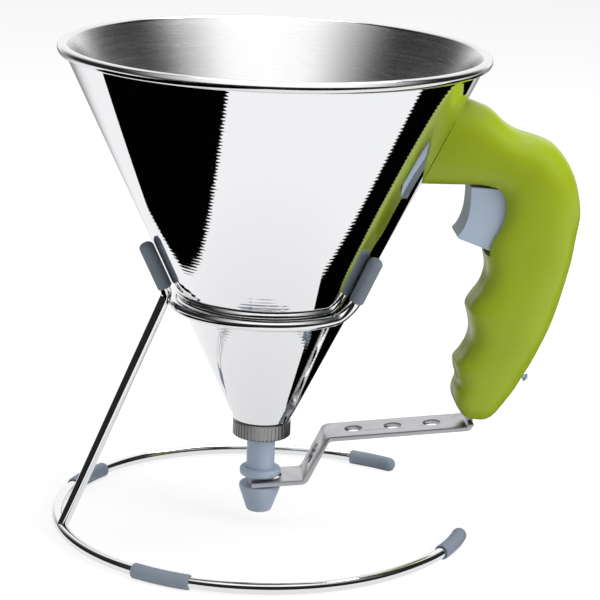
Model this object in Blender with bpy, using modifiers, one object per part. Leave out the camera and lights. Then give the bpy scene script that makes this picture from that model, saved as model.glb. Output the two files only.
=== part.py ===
"""Pancake batter dispenser: a conical funnel with a trigger handle, in a wire stand.

The funnel hangs on three rubber-capped prongs of the stand. Squeezing the
trigger swings a rocker inside the handle. The rocker carries a bent steel arm,
whose fork lifts the hollow valve below the funnel and lets the batter out.

Metres, +Z up. Everything is measured from the funnel's axis at table height,
which lies at FUNNEL_AXIS_X, so that the origin is below the middle of the part.
"""

import math

import bmesh
import bpy
from mathutils import Matrix, Vector

# Clearances
SEAT_GAP = 0.0003
RUNNING_GAP = 0.0003
POCKET_GAP = 0.0008
CUT_OVERRUN = 0.004
WELD_DISTANCE = 0.00001

# Funnel: rolled rim, straight conical wall
RIM_RADIUS = 0.078
RIM_HEIGHT = 0.1835
BEAD_RADIUS = 0.002
SHEET = 0.0008
CONE_END_RADIUS = 0.0110
CONE_END_HEIGHT = 0.0423

# Stand
WIRE_RADIUS = 0.0021
BASE_RING_RADIUS = 0.0770
BASE_CENTRE_X = -0.00075
BASE_CENTRE_Y = 0.0008
FOOT_RADIUS = 0.00285
FOOT_FLAT_DEPTH = 0.0002

# Handle: its reach from the funnel's axis to its back, its foot, and its top's drop below the rim
HANDLE_REACH = 0.1174
HANDLE_FOOT_HEIGHT = 0.0425
HANDLE_RIM_DROP = 0.0143
HANDLE_WIDTH = 0.0270

# The rocker's travel, which brings the tilted fork level at full lift
ROCKER_TRAVEL_DEG = 4.7

HANDLE_HEIGHT = RIM_HEIGHT - HANDLE_RIM_DROP - HANDLE_FOOT_HEIGHT
BASE_RING_HEIGHT = FOOT_RADIUS - FOOT_FLAT_DEPTH
LEFT_REACH = BASE_RING_RADIUS + WIRE_RADIUS - BASE_CENTRE_X
FUNNEL_AXIS_X = (LEFT_REACH - HANDLE_REACH) / 2

# Colours, roughness and metallic value of each finish
FINISHES = {
    "polished_steel": ((0.80, 0.80, 0.81), 0.08, 1.0),
    "chromed_wire": ((0.78, 0.78, 0.79), 0.12, 1.0),
    "satin_steel": ((0.62, 0.62, 0.64), 0.32, 1.0),
    "nickel": ((0.45, 0.44, 0.43), 0.35, 1.0),
    "green_plastic": ((0.30, 0.42, 0.03), 0.45, 0.0),
    "grey_plastic": ((0.30, 0.36, 0.44), 0.45, 0.0),
    "grey_rubber": ((0.16, 0.18, 0.22), 0.65, 0.0),
    "white_plastic": ((0.75, 0.75, 0.73), 0.40, 0.0),
    "seal_rubber": ((0.05, 0.05, 0.05), 0.70, 0.0),
}


# Scene and finishes

def clear_scene():
    for obj in list(bpy.data.objects):
        bpy.data.objects.remove(obj, do_unlink=True)


def new_collection(name):
    found = bpy.data.collections.get(name)
    if found is None:
        found = bpy.data.collections.new(name)
        bpy.context.scene.collection.children.link(found)
    return found


def finish(obj, name):
    """Give an object its own material in one of the finishes."""
    colour, roughness, metallic = FINISHES[name]
    material = bpy.data.materials.new(obj.name)
    material.use_nodes = True
    shader = material.node_tree.nodes["Principled BSDF"]
    shader.inputs["Base Color"].default_value = (*colour, 1.0)
    shader.inputs["Roughness"].default_value = roughness
    shader.inputs["Metallic"].default_value = metallic
    material.diffuse_color = (*colour, 1.0)
    obj.data.materials.clear()
    obj.data.materials.append(material)
    return obj


clear_scene()
PARTS = new_collection("pancake_batter_dispenser")
CUTTERS = new_collection("cutters")
AXIS = bpy.data.objects.new("funnel_axis", None)
AXIS.location = (FUNNEL_AXIS_X, 0, 0)
PARTS.objects.link(AXIS)


# Shapes

def place(obj, target=None):
    """Put an object into a collection, carried by the funnel's axis."""
    (target or PARTS).objects.link(obj)
    obj.parent = AXIS
    return obj


def as_cutter(obj):
    """Move an object to the cutters, where it is neither shown nor built."""
    for owner in list(obj.users_collection):
        owner.objects.unlink(obj)
    CUTTERS.objects.link(obj)
    obj.hide_render = True
    obj.display_type = "WIRE"
    return obj


def evaluated_mesh(obj):
    """The object's shape with its modifiers, as one welded mesh."""
    bpy.context.view_layer.update()
    graph = bpy.context.evaluated_depsgraph_get()
    mesh = bpy.data.meshes.new_from_object(obj.evaluated_get(graph))
    work = bmesh.new()
    work.from_mesh(mesh)
    bmesh.ops.remove_doubles(work, verts=work.verts, dist=WELD_DISTANCE)
    bmesh.ops.dissolve_degenerate(work, edges=work.edges, dist=WELD_DISTANCE)
    bmesh.ops.recalc_face_normals(work, faces=work.faces)
    work.to_mesh(mesh)
    work.free()
    return mesh


def to_mesh(obj):
    """Replace a curve, or an object with modifiers, by a plain mesh object."""
    mesh = evaluated_mesh(obj)
    name = obj.name
    plain = bpy.data.objects.new(name + "_mesh", mesh)
    plain.matrix_basis = obj.matrix_basis.copy()
    for owner in list(obj.users_collection):
        owner.objects.link(plain)
    plain.parent = obj.parent
    bpy.data.objects.remove(obj, do_unlink=True)
    plain.name = name
    mesh.name = name
    return plain


def smooth(obj, angle_deg=35.0):
    """Shade round faces smooth and keep edges above the angle sharp."""
    obj.data.shade_smooth()
    obj.data.set_sharp_from_angle(angle=math.radians(angle_deg))
    return obj


def boolean(obj, other, operation="DIFFERENCE"):
    """Cut, join or trim an object with another, which becomes a cutter."""
    as_cutter(other)
    change = obj.modifiers.new(operation.title(), "BOOLEAN")
    change.operation = operation
    change.object = other
    change.solver = "EXACT"
    return obj


def turned(name, profile, segments, closed=True):
    """Turn a profile of (radius, height) points, down its outer side, about Z."""
    mesh = bpy.data.meshes.new(name)
    edges = [(i, i + 1) for i in range(len(profile) - 1)]
    if closed:
        edges.append((len(profile) - 1, 0))
    mesh.from_pydata([(r, 0, z) for r, z in profile], edges, [])
    obj = place(bpy.data.objects.new(name, mesh))
    turn = obj.modifiers.new("Turn", "SCREW")
    turn.axis = "Z"
    turn.angle = math.tau
    turn.steps = segments
    turn.render_steps = segments
    turn.use_merge_vertices = True
    turn.merge_threshold = WELD_DISTANCE
    turn.use_smooth_shade = True
    return to_mesh(obj)


def wire(name, points, radius, sides_level=2, radii=None):
    """A round bar with closed ends along points; radii are shares of radius."""
    curve = bpy.data.curves.new(name, "CURVE")
    curve.dimensions = "3D"
    curve.bevel_depth = radius
    curve.bevel_resolution = sides_level
    curve.use_fill_caps = True
    spline = curve.splines.new("POLY")
    spline.points.add(len(points) - 1)
    for i, point in enumerate(points):
        spline.points[i].co = (*point, 1.0)
        spline.points[i].radius = radii[i] if radii else 1.0
    return to_mesh(place(bpy.data.objects.new(name, curve)))


def prism(name, outline, half_width, middle_y=0.0):
    """A flat (x, z) outline standing in the handle's plane, with thickness along Y."""
    curve = bpy.data.curves.new(name, "CURVE")
    curve.dimensions = "2D"
    curve.fill_mode = "BOTH"
    curve.extrude = half_width
    spline = curve.splines.new("POLY")
    spline.points.add(len(outline) - 1)
    for i, (x, z) in enumerate(outline):
        spline.points[i].co = (x, z, 0.0, 1.0)
    spline.use_cyclic_u = True
    obj = place(bpy.data.objects.new(name, curve))
    obj.rotation_euler = (math.pi / 2, 0.0, 0.0)
    obj.location = (0.0, middle_y, 0.0)
    return to_mesh(obj)


def rod(name, radius, start, end, segments=20):
    """A straight round bar from one point to another."""
    start = Vector(start)
    along = Vector(end) - start
    mesh = bpy.data.meshes.new(name)
    work = bmesh.new()
    bmesh.ops.create_cone(work, cap_ends=True, segments=segments, radius1=radius,
                          radius2=radius, depth=along.length)
    work.to_mesh(mesh)
    work.free()
    obj = place(bpy.data.objects.new(name, mesh))
    obj.rotation_euler = along.to_track_quat("Z", "Y").to_euler()
    obj.location = start + along / 2
    return obj


def block(name, low, high):
    """A box between two corners."""
    low = Vector(low)
    high = Vector(high)
    size = high - low
    mesh = bpy.data.meshes.new(name)
    work = bmesh.new()
    bmesh.ops.create_cube(work, size=1.0, matrix=Matrix.Diagonal((*size, 1.0)))
    work.to_mesh(mesh)
    work.free()
    obj = place(bpy.data.objects.new(name, mesh))
    obj.location = low + size / 2
    return obj


def softened(obj, width, segments=2, angle_deg=50.0):
    """Round the sharp edges of a mesh object."""
    edge = obj.modifiers.new("Soften", "BEVEL")
    edge.width = width
    edge.segments = segments
    edge.limit_method = "ANGLE"
    edge.angle_limit = math.radians(angle_deg)
    edge.use_clamp_overlap = True
    return to_mesh(obj)


def settle(obj, origin=None):
    """Apply the modifiers and put the object's origin on its joint or at its seat."""
    obj = to_mesh(obj)
    obj.data.transform(obj.matrix_basis)
    obj.matrix_basis = Matrix.Identity(4)
    if origin is not None:
        obj.data.transform(Matrix.Translation(-Vector(origin)))
        obj.location = origin
    return smooth(obj)


# Curves

def arc_points(centre_x, centre_z, radius, from_deg, to_deg, count):
    """Points on an arc in a plane of two coordinates."""
    points = []
    for i in range(count + 1):
        turn = math.radians(from_deg + (to_deg - from_deg) * i / count)
        points.append((centre_x + radius * math.cos(turn), centre_z + radius * math.sin(turn)))
    return points


def rounded_path(corners, radius, steps):
    """A path through corners, each inner corner rounded with one radius."""
    corners = [Vector(corner) for corner in corners]
    path = [corners[0]]
    for before, corner, after in zip(corners, corners[1:], corners[2:]):
        back = (before - corner).normalized()
        ahead = (after - corner).normalized()
        half = back.angle(ahead) / 2
        tangent = radius / math.tan(half)
        middle = corner + (back + ahead).normalized() * radius / math.sin(half)
        first = corner + back * tangent - middle
        last = corner + ahead * tangent - middle
        sweep = first.angle(last)
        for i in range(steps + 1):
            turn = sweep * i / steps
            share = math.sin(sweep - turn) / math.sin(sweep)
            path.append(middle + first * share + last * math.sin(turn) / math.sin(sweep))
    path.append(corners[-1])
    return path


def spline_points(controls, steps):
    """A smooth curve through control tuples of any length, steps to a span."""
    count = len(controls)
    found = []
    for i in range(count - 1):
        p0 = controls[max(i - 1, 0)]
        p1 = controls[i]
        p2 = controls[i + 1]
        p3 = controls[min(i + 2, count - 1)]
        for k in range(steps):
            t = k / steps
            found.append(tuple(catmull(a, b, c, d, t) for a, b, c, d in zip(p0, p1, p2, p3)))
    found.append(tuple(controls[-1]))
    return found


def catmull(a, b, c, d, t):
    """One coordinate of a curve that passes through b and c."""
    slope_b = (c - a) / 2
    slope_c = (d - b) / 2
    rise = c - b
    return b + t * (slope_b + t * (3 * rise - 2 * slope_b - slope_c + t * (slope_b + slope_c - 2 * rise)))


# Places

def cone_radius(height):
    """Outer radius of the funnel's wall at a height."""
    share = (height - CONE_END_HEIGHT) / (RIM_HEIGHT - CONE_END_HEIGHT)
    return CONE_END_RADIUS + share * (RIM_RADIUS - CONE_END_RADIUS)


CONE_LEAN = math.atan2(RIM_RADIUS - CONE_END_RADIUS, RIM_HEIGHT - CONE_END_HEIGHT)
WALL_ACROSS = SHEET / math.cos(CONE_LEAN)


def grip(x_share, z_share):
    """A place in the handle's plane, in shares of its reach and height."""
    return (HANDLE_REACH * x_share, HANDLE_FOOT_HEIGHT + HANDLE_HEIGHT * z_share)


def grip_outline(shares):
    return [grip(x, z) for x, z in shares]


def around(angle_deg, radius, height, centre=(0.0, 0.0)):
    turn = math.radians(angle_deg)
    return Vector((centre[0] + radius * math.cos(turn), centre[1] + radius * math.sin(turn), height))


# Funnel

CONE_SEGMENTS = 64
BEAD_STEPS = 9


def funnel_cone():
    """The spun cone: a thin straight wall whose top edge is rolled into a bead."""
    turn_in = math.degrees(CONE_LEAN)
    bead = arc_points(RIM_RADIUS, RIM_HEIGHT, BEAD_RADIUS, 180.0 - turn_in, -135.0, BEAD_STEPS)
    outer_top = RIM_HEIGHT - BEAD_RADIUS * math.cos(math.radians(45.0))
    profile = bead + [
        (cone_radius(outer_top), outer_top),
        (CONE_END_RADIUS, CONE_END_HEIGHT),
        (CONE_END_RADIUS - WALL_ACROSS, CONE_END_HEIGHT),
    ]
    cone = turned("funnel_cone", profile, CONE_SEGMENTS)
    return finish(settle(cone), "polished_steel")


# Outlet: collar, seal, bush, knurled nut

COLLAR_THREAD_RADIUS = 0.0092
COLLAR_BORE_RADIUS = 0.0072
COLLAR_HEIGHT = 0.0077
COLLAR_TOP_RISE = 0.0022
NUT_RADIUS = 0.0111
NUT_HEIGHT = 0.0064
NUT_FLOOR = 0.0012
NUT_HOLE_RADIUS = 0.0062
NUT_CHAMFER = 0.0005
NUT_TOP_DROP = 0.0005
BUSH_FLANGE = 0.0010
SEAL_THICKNESS = 0.0008
TUBE_RADIUS = 0.0054
ROUND_SEGMENTS = 28

NUT_TOP = CONE_END_HEIGHT - NUT_TOP_DROP
NUT_BOTTOM = NUT_TOP - NUT_HEIGHT
BUSH_BOTTOM = NUT_BOTTOM + NUT_FLOOR + SEAT_GAP
SEAL_BOTTOM = BUSH_BOTTOM + BUSH_FLANGE + SEAT_GAP
COLLAR_BOTTOM = SEAL_BOTTOM + SEAL_THICKNESS + SEAT_GAP
COLLAR_TOP = COLLAR_BOTTOM + COLLAR_HEIGHT
BUSH_TOP = COLLAR_TOP - COLLAR_TOP_RISE
BUSH_RADIUS = COLLAR_BORE_RADIUS - SEAT_GAP
BUSH_BORE = TUBE_RADIUS + RUNNING_GAP


def outlet_collar():
    """The threaded collar inside the cone's end, with a sloping top that drains inwards."""
    inside = WALL_ACROSS + SEAT_GAP / math.cos(CONE_LEAN)
    step = CONE_END_HEIGHT + SEAT_GAP
    profile = [
        (COLLAR_BORE_RADIUS, BUSH_TOP),
        (cone_radius(COLLAR_TOP) - inside, COLLAR_TOP),
        (cone_radius(step) - inside, step),
        (COLLAR_THREAD_RADIUS, step),
        (COLLAR_THREAD_RADIUS, COLLAR_BOTTOM),
        (COLLAR_BORE_RADIUS, COLLAR_BOTTOM),
    ]
    return finish(settle(turned("outlet_collar", profile, ROUND_SEGMENTS)), "satin_steel")


def outlet_seal():
    """Flat ring between the collar and the bush's flange."""
    outer = COLLAR_THREAD_RADIUS
    inner = COLLAR_BORE_RADIUS
    top = SEAL_BOTTOM + SEAL_THICKNESS
    profile = [(inner, top), (outer, top), (outer, SEAL_BOTTOM), (inner, SEAL_BOTTOM)]
    return finish(settle(turned("outlet_seal", profile, ROUND_SEGMENTS)), "seal_rubber")


def valve_bush():
    """The flanged sleeve that the valve slides in, closed by the valve's head on top."""
    shoulder = BUSH_BOTTOM + BUSH_FLANGE
    profile = [
        (BUSH_BORE, BUSH_TOP),
        (BUSH_RADIUS, BUSH_TOP),
        (BUSH_RADIUS, shoulder),
        (COLLAR_THREAD_RADIUS, shoulder),
        (COLLAR_THREAD_RADIUS, BUSH_BOTTOM),
        (BUSH_BORE, BUSH_BOTTOM),
    ]
    return finish(settle(turned("valve_bush", profile, ROUND_SEGMENTS)), "white_plastic")


def knurled_nut():
    """The union nut that holds the bush against the collar."""
    bore = COLLAR_THREAD_RADIUS + SEAT_GAP
    floor = NUT_BOTTOM + NUT_FLOOR
    profile = [
        (bore, NUT_TOP),
        (NUT_RADIUS - NUT_CHAMFER, NUT_TOP),
        (NUT_RADIUS, NUT_TOP - NUT_CHAMFER),
        (NUT_RADIUS, NUT_BOTTOM + NUT_CHAMFER),
        (NUT_RADIUS - NUT_CHAMFER, NUT_BOTTOM),
        (NUT_HOLE_RADIUS, NUT_BOTTOM),
        (NUT_HOLE_RADIUS, floor),
        (bore, floor),
    ]
    return finish(settle(turned("knurled_nut", profile, ROUND_SEGMENTS)), "nickel")


# Valve: a hollow piston with a head, side ports, a lifting groove and a nozzle tip

TIP_HEIGHT = 0.0048
TIP_RADIUS = 0.0046
TIP_EDGE = 0.0006
TIP_LIP = 0.0016
FLANGE_RADIUS = 0.0079
NECK_RADIUS = 0.0044
GROOVE_BOTTOM = 0.0156
GROOVE_HEIGHT = 0.0035
FLANGE_THICKNESS = 0.0031
FLANGE_EDGE = 0.0006
VALVE_BORE_RADIUS = 0.0032
HEAD_RADIUS = 0.0070
HEAD_THICKNESS = 0.0034
HEAD_CROWN = 0.0012
RING_SECTION = 0.00055
RING_CLEARANCE = 0.0003
PORT_RADIUS = 0.0020
PORT_BELOW_BUSH_TOP = 0.0026
RING_SIDES = 6

GROOVE_TOP = GROOVE_BOTTOM + GROOVE_HEIGHT
FLANGE_TOP = GROOVE_TOP + FLANGE_THICKNESS
RING_HEIGHT = BUSH_TOP + RING_CLEARANCE + RING_SECTION
RING_RADIUS = TUBE_RADIUS + RING_CLEARANCE + RING_SECTION
HEAD_BOTTOM = RING_HEIGHT + RING_SECTION + RING_CLEARANCE


def valve():
    """The hollow valve: batter enters its side ports when it is lifted."""
    head_top = HEAD_BOTTOM + HEAD_THICKNESS
    head_edge = HEAD_BOTTOM + HEAD_THICKNESS - HEAD_CROWN
    bore_end = BUSH_TOP
    profile = [
        (0.0, head_top),
        (HEAD_RADIUS / 2, head_top - HEAD_CROWN / 4),
        (HEAD_RADIUS, head_edge),
        (HEAD_RADIUS, HEAD_BOTTOM),
        (TUBE_RADIUS, HEAD_BOTTOM),
        (TUBE_RADIUS, FLANGE_TOP),
        (FLANGE_RADIUS - FLANGE_EDGE, FLANGE_TOP),
        (FLANGE_RADIUS, FLANGE_TOP - FLANGE_EDGE),
        (FLANGE_RADIUS, GROOVE_TOP + FLANGE_EDGE),
        (FLANGE_RADIUS - FLANGE_EDGE, GROOVE_TOP),
        (NECK_RADIUS, GROOVE_TOP),
        (NECK_RADIUS, GROOVE_BOTTOM),
        (FLANGE_RADIUS - FLANGE_EDGE, GROOVE_BOTTOM),
        (FLANGE_RADIUS, GROOVE_BOTTOM - FLANGE_EDGE),
        (FLANGE_RADIUS, GROOVE_BOTTOM - TIP_LIP),
        (TIP_RADIUS + TIP_EDGE / 4, TIP_HEIGHT + TIP_EDGE),
        (TIP_RADIUS - TIP_EDGE, TIP_HEIGHT),
        (VALVE_BORE_RADIUS, TIP_HEIGHT),
        (VALVE_BORE_RADIUS, bore_end),
        (0.0, bore_end),
    ]
    body = turned("nozzle_valve", profile, ROUND_SEGMENTS, closed=False)
    port_height = BUSH_TOP - PORT_BELOW_BUSH_TOP
    reach = TUBE_RADIUS + CUT_OVERRUN
    boolean(body, rod("port_cut_x", PORT_RADIUS, (-reach, 0, port_height), (reach, 0, port_height), 12))
    boolean(body, rod("port_cut_y", PORT_RADIUS, (0, -reach, port_height), (0, reach, port_height), 12))
    return finish(settle(body), "grey_plastic")


def valve_ring():
    """The sealing ring below the valve's head."""
    section = arc_points(RING_RADIUS, RING_HEIGHT, RING_SECTION, 180.0, -180.0, RING_SIDES)[:-1]
    return finish(settle(turned("valve_ring", section, ROUND_SEGMENTS)), "seal_rubber")


# Stand

HOLDER_HEIGHT = 0.0883
HOLDER_CLEARANCE = 0.0004
HOLDER_CORNER = 0.0080
POST_DEG = 192.5
FRONT_PRONG_DEG = -37.0
REAR_PRONG_DEG = 60.0
PRONG_START_RISE = 0.0060
PRONG_TOP = 0.1107
PRONG_CAP_RADIUS = 0.0028
PRONG_CAP_BOTTOM = 0.0952
PRONG_TIP_LENGTH = 0.0020
POST_BEND_RADIUS = 0.0060
FRONT_END_DEG = -16.0
REAR_END_DEG = 45.4
FRONT_OPENS_AT_DEG = -50.0
REAR_OPENS_AT_DEG = 91.0
FRONT_OPENING = 0.0024
REAR_OPENING = 0.0060
OPENING_CURVE_SHARE = 1.25
FRONT_CAP_DEG = 15.0
REAR_CAP_DEG = 12.1
FOOT_TIP_LENGTH = 0.0026
FRONT_SLEEVE_DEG = -119.8
REAR_SLEEVE_DEG = 149.2
SLEEVE_LENGTH = 0.0229
RING_STEP_DEG = 6.0
CAP_STEPS = 4
TIP_SHARES = ((0.45, 0.94), (0.75, 0.78), (0.93, 0.52), (1.0, 0.26))

BASE_CENTRE = (BASE_CENTRE_X, BASE_CENTRE_Y)
RING_OFFSET = (WIRE_RADIUS + HOLDER_CLEARANCE) / math.cos(CONE_LEAN)
PRONG_OFFSET = (PRONG_CAP_RADIUS + SEAT_GAP) / math.cos(CONE_LEAN)
HOLDER_RADIUS = cone_radius(HOLDER_HEIGHT) + RING_OFFSET


def base_radius(turn_deg):
    """The base ring's radius, which opens out towards its two capped ends."""
    rear = (REAR_OPENS_AT_DEG - turn_deg) / (REAR_OPENS_AT_DEG - REAR_END_DEG)
    front_from = FRONT_OPENS_AT_DEG + 360.0
    front = (turn_deg - front_from) / (FRONT_END_DEG - FRONT_OPENS_AT_DEG)
    opened = REAR_OPENING * max(rear, 0.0) ** OPENING_CURVE_SHARE
    return BASE_RING_RADIUS + opened + FRONT_OPENING * max(front, 0.0) ** OPENING_CURVE_SHARE


def base_points(from_deg, to_deg):
    """Points on the base ring's line; degrees run from the rear end round to the front's."""
    steps = max(2, round(abs(to_deg - from_deg) / RING_STEP_DEG))
    turns = [from_deg + (to_deg - from_deg) * i / steps for i in range(steps + 1)]
    return [around(turn, base_radius(turn), BASE_RING_HEIGHT, BASE_CENTRE) for turn in turns]


def base_ring():
    """The open ring on the table, from one capped end round to the other."""
    points = base_points(REAR_END_DEG, FRONT_END_DEG + 360.0)
    return finish(settle(wire("base_ring", points, WIRE_RADIUS)), "chromed_wire")


def on_cone(turn, height):
    """A wire's centre against the cone: close at the ring, further out under a cap."""
    rise = min(max((height - HOLDER_HEIGHT) / PRONG_START_RISE, 0.0), 1.0)
    offset = RING_OFFSET + (PRONG_OFFSET - RING_OFFSET) * rise
    radius = cone_radius(height) + offset
    return Vector((radius * math.cos(turn), radius * math.sin(turn), height))


def holder_ring():
    """The open ring round the cone, whose two ends turn up along the cone as prongs."""
    rear = HOLDER_RADIUS * math.radians(REAR_PRONG_DEG - POST_DEG)
    front = HOLDER_RADIUS * math.radians(FRONT_PRONG_DEG + 360.0 - POST_DEG)
    corners = [
        (rear, PRONG_TOP, 0),
        (rear, HOLDER_HEIGHT, 0),
        (front, HOLDER_HEIGHT, 0),
        (front, PRONG_TOP, 0),
    ]
    flat = rounded_path(corners, HOLDER_CORNER, 6)
    points = []
    for before, after in zip(flat, flat[1:]):
        steps = max(1, round((after - before).length / (HOLDER_RADIUS * math.radians(RING_STEP_DEG))))
        points += [before.lerp(after, i / steps) for i in range(steps)]
    points.append(flat[-1])
    middle = math.radians(POST_DEG)
    path = [on_cone(middle + point.x / HOLDER_RADIUS, point.y) for point in points]
    return finish(settle(wire("holder_ring", path, WIRE_RADIUS)), "chromed_wire")


def post_foot_and_bend():
    """Where the post starts on the base ring and where its line meets its prong's."""
    turn = math.radians(POST_DEG)
    toward = Vector((math.cos(turn), math.sin(turn)))
    foot_radius = Vector(BASE_CENTRE).dot(toward) + BASE_RING_RADIUS
    lean = 0.4
    for _ in range(6):
        pass_radius = HOLDER_RADIUS + (2 * WIRE_RADIUS + SEAT_GAP) / math.cos(lean)
        lean = math.atan2(foot_radius - pass_radius, HOLDER_HEIGHT - BASE_RING_HEIGHT)
    slope = math.tan(CONE_LEAN)
    prong_at_holder = cone_radius(HOLDER_HEIGHT) + PRONG_OFFSET
    rise = (pass_radius - prong_at_holder) / (slope + math.tan(lean))
    return foot_radius, lean, HOLDER_HEIGHT + rise


def stand_post():
    """The single leaning post, welded to both rings, whose top bends out along the cone."""
    foot_radius, lean, bend_height = post_foot_and_bend()
    lift = WIRE_RADIUS + SEAT_GAP
    start = around(POST_DEG, foot_radius - lift * math.sin(lean), BASE_RING_HEIGHT + lift * math.cos(lean))
    bend = around(POST_DEG, cone_radius(bend_height) + PRONG_OFFSET, bend_height)
    top = around(POST_DEG, cone_radius(PRONG_TOP) + PRONG_OFFSET, PRONG_TOP)
    path = rounded_path([start, bend, top], POST_BEND_RADIUS, 6)
    return finish(settle(wire("stand_post", path, WIRE_RADIUS, 3)), "chromed_wire")


def rubber_sleeve(name, path, radius, tip_length, bore_path):
    """A rubber tube over a wire; a cap has one rounded, closed end."""
    radii = [1.0] * len(path)
    if tip_length:
        ahead = (path[-1] - path[-2]).normalized()
        tip = path[-1]
        for along_share, radius_share in TIP_SHARES:
            path = path + [tip + ahead * tip_length * along_share]
            radii = radii + [radius_share]
    sleeve = wire(name, path, radius, 3, radii)
    boolean(sleeve, wire(name + "_bore", bore_path, WIRE_RADIUS + SEAT_GAP, 3))
    return sleeve


def flat_foot(sleeve):
    """Cut the round rubber flat where it stands on the table."""
    reach = BASE_RING_RADIUS + REAR_OPENING + FOOT_RADIUS + CUT_OVERRUN
    low = (-reach, -reach, -CUT_OVERRUN)
    return boolean(sleeve, block(sleeve.name + "_floor", low, (reach, reach, 0.0)))


def base_cap(name, end_deg, mouth_deg):
    """The rubber cap on one end of the base ring, a foot as well."""
    side = 1 if end_deg > mouth_deg else -1
    past = end_deg + side * math.degrees(SEAT_GAP / BASE_RING_RADIUS)
    before = mouth_deg - side * math.degrees(CUT_OVERRUN / BASE_RING_RADIUS)
    bore = base_points(before, past)
    cap = rubber_sleeve(name, base_points(mouth_deg, end_deg), FOOT_RADIUS, FOOT_TIP_LENGTH, bore)
    return finish(settle(flat_foot(cap)), "grey_rubber")


def base_sleeve(name, middle_deg):
    """A rubber foot round the base ring."""
    half = math.degrees(SLEEVE_LENGTH / 2 / BASE_RING_RADIUS)
    more = half + math.degrees(CUT_OVERRUN / BASE_RING_RADIUS)
    bore = base_points(middle_deg - more, middle_deg + more)
    sleeve = rubber_sleeve(name, base_points(middle_deg - half, middle_deg + half), FOOT_RADIUS, 0.0, bore)
    return finish(settle(flat_foot(sleeve)), "grey_rubber")


def prong_cap(name, angle_deg):
    """The rubber cap on a prong, which the funnel rests against."""
    def against(height):
        return around(angle_deg, cone_radius(height) + PRONG_OFFSET, height)

    reach = PRONG_TOP - PRONG_CAP_BOTTOM
    path = [against(PRONG_CAP_BOTTOM + reach * i / CAP_STEPS) for i in range(CAP_STEPS + 1)]
    bore = [against(PRONG_CAP_BOTTOM - CUT_OVERRUN), against(PRONG_TOP + SEAT_GAP)]
    cap = rubber_sleeve(name, path, PRONG_CAP_RADIUS, PRONG_TIP_LENGTH, bore)
    return finish(settle(cap), "grey_rubber")


# Handle: two moulded halves round the trigger, the rocker and the bracket

# Stations down the handle: outer point, finger-side point, half width, all shares
HANDLE_STATION_SHARES = (
    ((0.562, 1.000), (0.434, 0.739), 0.84),
    ((0.607, 0.991), (0.481, 0.738), 0.84),
    ((0.649, 0.978), (0.545, 0.738), 0.85),
    ((0.694, 0.959), (0.613, 0.739), 0.86),
    ((0.743, 0.920), (0.672, 0.741), 0.88),
    ((0.788, 0.898), (0.694, 0.738), 0.91),
    ((0.848, 0.882), (0.710, 0.735), 0.94),
    ((0.901, 0.860), (0.727, 0.714), 0.97),
    ((0.944, 0.815), (0.735, 0.683), 1.00),
    ((0.974, 0.763), (0.734, 0.648), 1.00),
    ((0.991, 0.710), (0.722, 0.612), 1.00),
    ((1.000, 0.650), (0.698, 0.567), 1.00),
    ((0.991, 0.579), (0.697, 0.531), 1.00),
    ((0.983, 0.521), (0.705, 0.493), 1.00),
    ((0.973, 0.474), (0.705, 0.460), 1.00),
    ((0.960, 0.421), (0.692, 0.422), 1.00),
    ((0.945, 0.365), (0.664, 0.385), 1.00),
    ((0.933, 0.328), (0.651, 0.358), 1.00),
    ((0.920, 0.293), (0.658, 0.331), 0.99),
    ((0.901, 0.252), (0.667, 0.290), 0.99),
    ((0.883, 0.215), (0.661, 0.251), 0.98),
    ((0.865, 0.181), (0.642, 0.215), 0.98),
    ((0.850, 0.156), (0.621, 0.189), 0.97),
    ((0.835, 0.130), (0.624, 0.161), 0.96),
    ((0.820, 0.106), (0.632, 0.133), 0.95),
    ((0.806, 0.087), (0.624, 0.108), 0.94),
    ((0.792, 0.069), (0.621, 0.085), 0.93),
    ((0.778, 0.052), (0.627, 0.064), 0.91),
    ((0.764, 0.036), (0.639, 0.043), 0.85),
    ((0.747, 0.023), (0.653, 0.027), 0.74),
    ((0.728, 0.016), (0.676, 0.017), 0.52),
)
SECTION_POINTS = 20
SECTION_EXPONENT = 2.7
STATION_STEPS = 2

TRIGGER_PIN_SHARES = (0.790, 0.742)
DRIVE_PIN_SHARES = (0.775, 0.588)
ROCKER_PIN_SHARES = (0.737, 0.110)
TRIGGER_POCKET_SHARES = (
    (0.560, 0.530), (0.714, 0.528), (0.790, 0.515), (0.822, 0.515), (0.846, 0.572), (0.846, 0.735),
    (0.836, 0.786), (0.711, 0.786), (0.711, 0.729), (0.560, 0.729),
)
TAIL_POCKET_SHARES = ((0.801, 0.700), (0.926, 0.700), (0.926, 0.812), (0.801, 0.812))
ROCKER_CHANNEL_SHARES = (
    (0.695, 0.138), (0.729, 0.521), (0.729, 0.612),
    (0.872, 0.643), (0.872, 0.517), (0.806, 0.138),
)
ROCKER_CHAMBER_SHARES = (
    (0.655, 0.043), (0.738, 0.043), (0.785, 0.084), (0.796, 0.185), (0.678, 0.185),
)
MOUTH_SHARES = ((0.655, -0.080), (0.709, -0.080), (0.711, 0.060), (0.663, 0.060))
RELIEF_SHARES = ((0.640, -0.080), (0.712, -0.080), (0.712, 0.026), (0.640, 0.026))
SCREW_SHARES = {
    "handle_screw_shoulder": (0.800, 0.840),
    "handle_screw_grip": (0.928, 0.612),
    "handle_screw_foot": (0.851, 0.272),
}
BUTTON_SHARES = (0.847, 0.142)

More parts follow.
